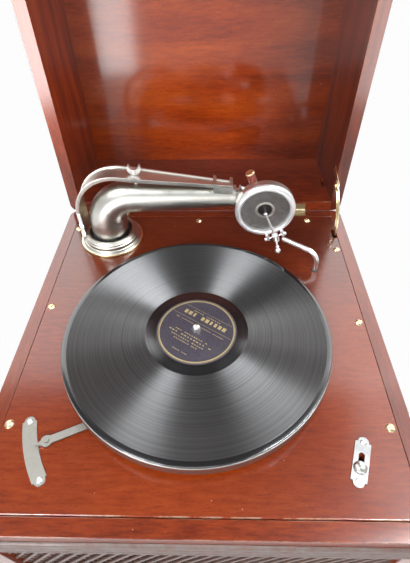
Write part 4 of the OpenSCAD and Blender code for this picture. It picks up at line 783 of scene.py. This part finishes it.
# sound box
softened("soundbox_back", 0.6, "nickel", 2, 40.0)
bezel = {
    "profile": [(26.6, 16.05), (32.5, 16.05), (33.0, 16.5), (33.0, 17.2), (32.8, 18.3), (32.3, 19.5),
                (31.4, 20.7), (30.2, 21.6), (29.0, 21.95), (28.1, 21.95), (27.3, 21.5), (26.8, 20.8),
                (26.6, 19.8)],
    "lug": (3.0, 8.0, 9.0), "lugAt": (8.5, -33.0, 20.6), "lugEdge": 0.7,
}


def makeBezel():
    parts = [lathe(bezel["profile"], 128)]
    x, y, z = bezel["lugAt"]
    for side in (-1, 1):
        parts.append(block(bezel["lug"], (side * x, y, z), bezel["lugEdge"]))
    ring = joined(*parts)
    finishPiece("soundboxBezel", ring, "soundbox", "ringNickel", ["soundbox_bezel"], 35.0, stylusPlace)


makeBezel()
facePlate = {
    "profile": [(7.6, 13.7), (26.2, 13.7), (26.2, 16.7), (25.4, 17.0), (24.6, 16.8), (10.6, 16.75),
                (10.0, 17.15), (9.0, 17.3), (8.1, 17.2), (7.6, 16.8)],
    "lip": (7.9, 10.3), "lipFrom": 16.5,
}


def makeFace():
    inner, outer = facePlate["lip"]
    bm = lathe(facePlate["profile"], 96)
    # bright lip round the hole
    secondFinish(bm, lambda at: inner < at.xy.length < outer and at.z > facePlate["lipFrom"])
    twoFinishes = ["faceGrey", "dullNickel"]
    finishPiece("soundboxFace", bm, "soundbox", twoFinishes, ["soundbox_face"], 40.0, boxPlace)


makeFace()


stylus = {
    "level": 24.1, "rod": (1.5, 0.95, 30.0), "rodAt": -15.0, "ball": 2.1, "ballAt": 0.2,
    "foot": 11.95, "footWide": 1.2, "footDrop": 0.4,
    "holder": 25.1, "holderAt": -34.0, "holderSize": (7.0, 8.0, 6.0), "holderEdge": 1.3,
    "sleeve": [(0.75, 0), (2.0, 0), (2.6, 1.0), (2.6, 3.0), (0.75, 3.0)], "sleeveAt": -37.4,
    "pin": [(0.0, -5.5), (0.95, -5.5), (0.95, 0), (1.9, 0), (2.1, 0.4), (2.1, 2.0), (1.7, 2.5), (0.0, 2.5)],
    "pinAt": 10.0,
    "thumb": [(0.0, 0.0), (1.2, 0.0), (1.2, 12.5), (2.0, 13.4), (2.2, 14.6), (1.5, 15.8), (1.3, 16.6),
              (1.9, 17.4), (2.7, 18.4), (3.15, 19.7), (3.1, 21.0), (2.4, 22.3), (1.2, 23.0), (0.0, 23.2)],
    "thumbAt": (0, -35.0, 26.9),
}


def makeStylus():
    y = stylus
    level, wide, high = y["level"], y["footWide"], y["level"] - y["footDrop"]
    thick, thin, long = y["rod"]
    rod = bmesh.new()
    bmesh.ops.create_cone(rod, cap_ends=True, segments=20, radius1=thick, radius2=thin, depth=long)
    rod.transform(move(0, y["rodAt"], level) @ turn(-90, "X"))
    ball = bmesh.new()
    bmesh.ops.create_uvsphere(ball, u_segments=24, v_segments=14, radius=y["ball"],
                              matrix=move(0, y["ballAt"], level))
    foot = lathe([(0.0, y["foot"]), (wide, y["foot"]), (wide, high), (0.0, high)], 20)
    holder = block(y["holderSize"], (0, y["holderAt"], y["holder"]), y["holderEdge"], 3)
    sleeve = placed(lathe(y["sleeve"], 24), move(0, y["sleeveAt"], y["holder"]) @ turn(90, "X"))
    bar = joined(rod, ball, foot, holder, sleeve)
    finishPiece("stylusBar", bar, "soundbox", "brightNickel", ["stylus_bar"], 35.0, stylusPlace)
    pins = []
    for side in (-1, 1):
        at = move(side * y["pinAt"], y["holderAt"], level) @ turn(side * 90, "Y")
        pins.append(placed(lathe(y["pin"], 24), at))
    pins.append(placed(lathe(y["thumb"], 28), move(*y["thumbAt"])))
    screws = joined(*pins)
    finishPiece("stylusScrews", screws, "soundbox", "brightNickel", ["stylus_screws"], 40.0, stylusPlace)


makeStylus()

handle = {
    "x": -8.0, "seat": 12.7, "back": 5.3, "shell": 8.0, "lean": 22.0, "stem": 4.0, "long": 22.0, "wide": 4.6,
    "stemWide": 1.8, "seam": 0.05,
    "cap": [(0.0, 0.0), (4.6, 0.0), (5.0, 0.4), (5.0, 1.4), (4.5, 2.0), (3.2, 2.2), (0.0, 2.2)],
}


def makeHandle():
    h = handle
    seat = boxPlace @ move(h["x"], h["seat"], h["shell"] - h["back"])
    at = seat @ turn(-90, "X") @ turn(-h["lean"], "Y")
    stem, wide, a, b = h["stemWide"], h["wide"], h["stem"], h["stem"] + h["long"]
    end = b - h["seam"]
    grip = lathe([(0.0, 0.0), (stem, 0.0), (stem, a), (3.6, a), (4.2, a + 0.5), (wide, a + 2.0), (wide, b - 1.0),
                  (wide - 0.2, end), (0.0, end)], 40)
    finishPiece("liftHandle", grip, "soundbox", "handleRed", ["lift_handle"], 40.0, at)
    cap = lathe([(r, b + z) for r, z in h["cap"]], 40)
    finishPiece("handleCap", cap, "soundbox", "agedBrass", (), 40.0, at)


makeHandle()
print("sound box made")

# fittings on the board
softened("needle_rest", 0.2, "brightNickel", 1, 50.0, 50.0)
# painted shadow: a thin black ring round the foot of the needle rest, where it meets the board
restRim = {"foot": (131.6, 103.3), "inner": 2.85, "outer": 4.3, "low": 0.02, "top": 0.12}


def makeRestShadowRing():
    r = restRim
    inner, outer, low, top = r["inner"], r["outer"], r["low"], r["top"]
    bm = lathe([(inner, low), (outer, low), (outer, top), (inner, top)], 40)
    place = deckPlace @ move(*r["foot"], 0)
    finishPiece("restRim", bm, "case", "blackIron", (), 40.0, place)


makeRestShadowRing()
deckPieces = {
    "speed_plate": ("plateNickel", 0.3), "speed_lever": ("plateNickel", 0.3), "brake_plate": ("brakeNickel", 0.3),
    "brake_knob": ("nickel", 0.3), "deck_screws": ("brightNickel", 0.15),
}
for node, (finish, width) in deckPieces.items():
    softened(node, width, finish)

# crank
crankPieces = {"winding_shaft": ("steel", 0.3), "crank_arm": ("nickel", 0.5), "crank_grip": ("gripWood", 0.3)}
for node, (finish, width) in crankPieces.items():
    softened(node, width, finish, 2, 40.0)
print("fittings made")

# other pieces, nearly all inside, as the solids have them
innerFinish = {
    "case_bottom": "bareWood", "board_ledges": "bareWood", "horn": "bareWood", "horn_throat": "blackIron",
    "hinge_pins": "steel", "turntable_felt": "felt", "needle": "steel", "brake_lever": "steel",
    "soundbox_gaskets": "rubber", "diaphragm": "darkMica", "motor_plates": "blackIron", "motor_pillars": "steel",
    "middle_wheel": "gearBrass", "spring_barrel": "gearBrass", "mainspring": "steel", "barrel_arbor": "steel",
    "governor": "gearBrass",
}
for node, finish in innerFinish.items():
    nodes[node].data.materials.clear()
    nodes[node].data.materials.append(finishes[finish])

# floor, light and camera
stage = {"floor": (0.9, 0.9, 0.9), "lift": 0.97, "size": 12.0}


def makeStage():
    bm = bmesh.new()
    bmesh.ops.create_grid(bm, x_segments=1, y_segments=1, size=stage["size"])
    mesh = bpy.data.meshes.new("floor")
    bm.to_mesh(mesh)
    bm.free()
    floor = bpy.data.objects.new("floor", mesh)
    bpy.context.scene.collection.objects.link(floor)
    material = bpy.data.materials.new("floorPaper")
    material.use_nodes = True
    tree = material.node_tree
    tree.nodes.clear()
    paper = addNode(tree, "ShaderNodeBsdfDiffuse", {"Color": (*stage["floor"], 1)})
    white = addNode(tree, "ShaderNodeEmission", {"Color": (1, 1, 1, 1), "Strength": 1.0})
    path = addNode(tree, "ShaderNodeLightPath")
    mirrored = maths(tree, "MAXIMUM", path.outputs["Is Glossy Ray"], path.outputs["Is Transmission Ray"])
    seen = maths(tree, "MAXIMUM", path.outputs["Is Camera Ray"], mirrored)
    share = maths(tree, "MULTIPLY", seen, stage["lift"])
    mixed = addNode(tree, "ShaderNodeMixShader", {0: share, 1: paper.outputs[0], 2: white.outputs[0]})
    output = addNode(tree, "ShaderNodeOutputMaterial")
    tree.links.new(mixed.outputs[0], output.inputs["Surface"])
    mesh.materials.append(material)


makeStage()

room = {
    "ahead": 0.16, "behind": 0.4, "low": 0.7, "front": 0.8, "top": 0.08, "topFrom": 0.70, "topTo": 0.84,
    "sideFade": (-0.5, 0.2), "softFade": (-0.4, 0.5), "white": 1.0,
}


def makeRoom():
    world = bpy.data.worlds.new("room")
    bpy.context.scene.world = world
    world.use_nodes = True
    tree = world.node_tree
    tree.nodes.clear()
    path = addNode(tree, "ShaderNodeLightPath")
    direction = addNode(tree, "ShaderNodeTexCoord").outputs["Generated"]
    axes = addNode(tree, "ShaderNodeSeparateXYZ", {"Vector": direction})
    sides = fade(tree, axes.outputs["Y"], *room["sideFade"], room["low"] * room["front"], room["low"])
    high = fade(tree, axes.outputs["Z"], room["topFrom"], room["topTo"])
    glow = mixValue(tree, high, sides, room["top"])
    soft = fade(tree, axes.outputs["Y"], *room["softFade"], room["ahead"], room["behind"])
    glossy = maths(tree, "MAXIMUM", path.outputs["Is Glossy Ray"], path.outputs["Is Transmission Ray"])
    strength = mixValue(tree, path.outputs["Is Camera Ray"], mixValue(tree, glossy, soft, glow), room["white"])
    back = addNode(tree, "ShaderNodeBackground", {"Color": (1, 1, 1, 1), "Strength": strength})
    output = addNode(tree, "ShaderNodeOutputWorld")
    tree.links.new(back.outputs[0], output.inputs["Surface"])


makeRoom()

# most lamps only show in the gloss; the front panel lights the shapes, the near one only softly
lamps = {
    "stripRight": {"at": (0.976, -0.008, 1.876), "aim": (0, -0.025, 0.247), "along": (0.927, 0.375, 0),
                   "size": (0.88, 0.24), "power": 45.0, "glossOnly": True, "tint": (0.94, 0.97, 1.0)},
    "stripLeft": {"at": (-0.838, -0.497, 1.887), "aim": (0, -0.025, 0.247), "along": (0.994, -0.105, 0),
                  "size": (0.67, 0.24), "power": 31.0, "glossOnly": True, "tint": (0.94, 0.97, 1.0)},
    "backLeft": {"at": (-1.0, 0.75, 0.99), "aim": (-1.0, -1.0, 0.99), "along": (1, 0, 0),
                 "size": (1.4, 1.38), "power": 16.0, "glossOnly": True},
    "backRight": {"at": (1.0, 0.75, 0.99), "aim": (1.0, -1.0, 0.99), "along": (1, 0, 0),
                  "size": (1.4, 1.38), "power": 16.0, "glossOnly": True},
    "highRight": {"at": (0.93, 0.60, 1.9), "aim": (0.16, -0.1, 0.225), "along": (1, 0, 0),
                  "size": (0.4, 0.6), "power": 1.6, "glossOnly": True},
    "paneLeft": {"at": (-0.625, -0.9, 0.225), "aim": (-0.1, 0.2, 0.35), "along": (1, 0, 0),
                 "size": (0.27, 0.45), "power": 4.4, "glossOnly": True},
    "paneMiddle": {"at": (-0.37, -0.9, 0.24), "aim": (-0.1, 0.3, 0.4), "along": (1, 0, 0),
                   "size": (0.14, 0.42), "power": 1.1, "glossOnly": True},
    "paneRight": {"at": (0.575, -0.9, 0.225), "aim": (0.1, 0.2, 0.35), "along": (1, 0, 0),
                  "size": (0.15, 0.45), "power": 1.1, "glossOnly": True},
    "frontPanel": {"at": (-0.25, -1.9, 0.95), "aim": (0, 0.3, 0.4), "along": (1, 0, 0),
                   "size": (1.3, 0.9), "power": 6.0, "glossOnly": False},
    "nearPanel": {"at": (0.0, -0.40, 0.62), "aim": (0, 0.12, 0.34), "along": (1, 0, 0),
                  "size": (0.36, 0.24), "power": 2.5, "glossOnly": False, "softOnly": True},
}


def makeLamps():
    for name, lamp in lamps.items():
        light = bpy.data.lights.new(name, "AREA")
        light.shape = "RECTANGLE"
        light.size, light.size_y = lamp["size"]
        light.energy = lamp["power"]
        light.color = lamp.get("tint", (1, 1, 1))
        holder = bpy.data.objects.new(name, light)
        behind = (Vector(lamp["at"]) - Vector(lamp["aim"])).normalized()
        across = Vector(lamp["along"])
        across = (across - behind * across.dot(behind)).normalized()
        axes = Matrix((across, behind.cross(across), behind)).transposed().to_4x4()
        holder.matrix_world = Matrix.Translation(lamp["at"]) @ axes
        holder.visible_diffuse = not lamp["glossOnly"]
        holder.visible_glossy = not lamp.get("softOnly", False)
        holder.visible_camera = False
        bpy.context.scene.collection.objects.link(holder)


makeLamps()

view = {
    "at": (0.0136, -0.2574, 0.5586), "right": (0.9997, 0.0175, -0.0154), "up": (-0.0021, 0.7246, 0.6891),
    "ahead": (-0.0232, 0.6889, -0.7244), "focusPixels": 410.0, "tallPixels": 563.0, "sensor": 36.0, "near": 0.01,
}


def makeCamera():
    data = bpy.data.cameras.new("camera")
    data.sensor_width = view["sensor"]
    data.lens = view["sensor"] * view["focusPixels"] / view["tallPixels"]
    data.clip_start = view["near"]
    camera = bpy.data.objects.new("camera", data)
    right, up, ahead = (Vector(view[k]).normalized() for k in ("right", "up", "ahead"))
    axes = Matrix((right, up, -ahead)).transposed().to_4x4()
    camera.matrix_world = Matrix.Translation(view["at"]) @ axes
    bpy.context.scene.collection.objects.link(camera)
    bpy.context.scene.camera = camera


makeCamera()
bpy.context.scene.view_settings.view_transform = "Standard"
print("stage, light and camera made")
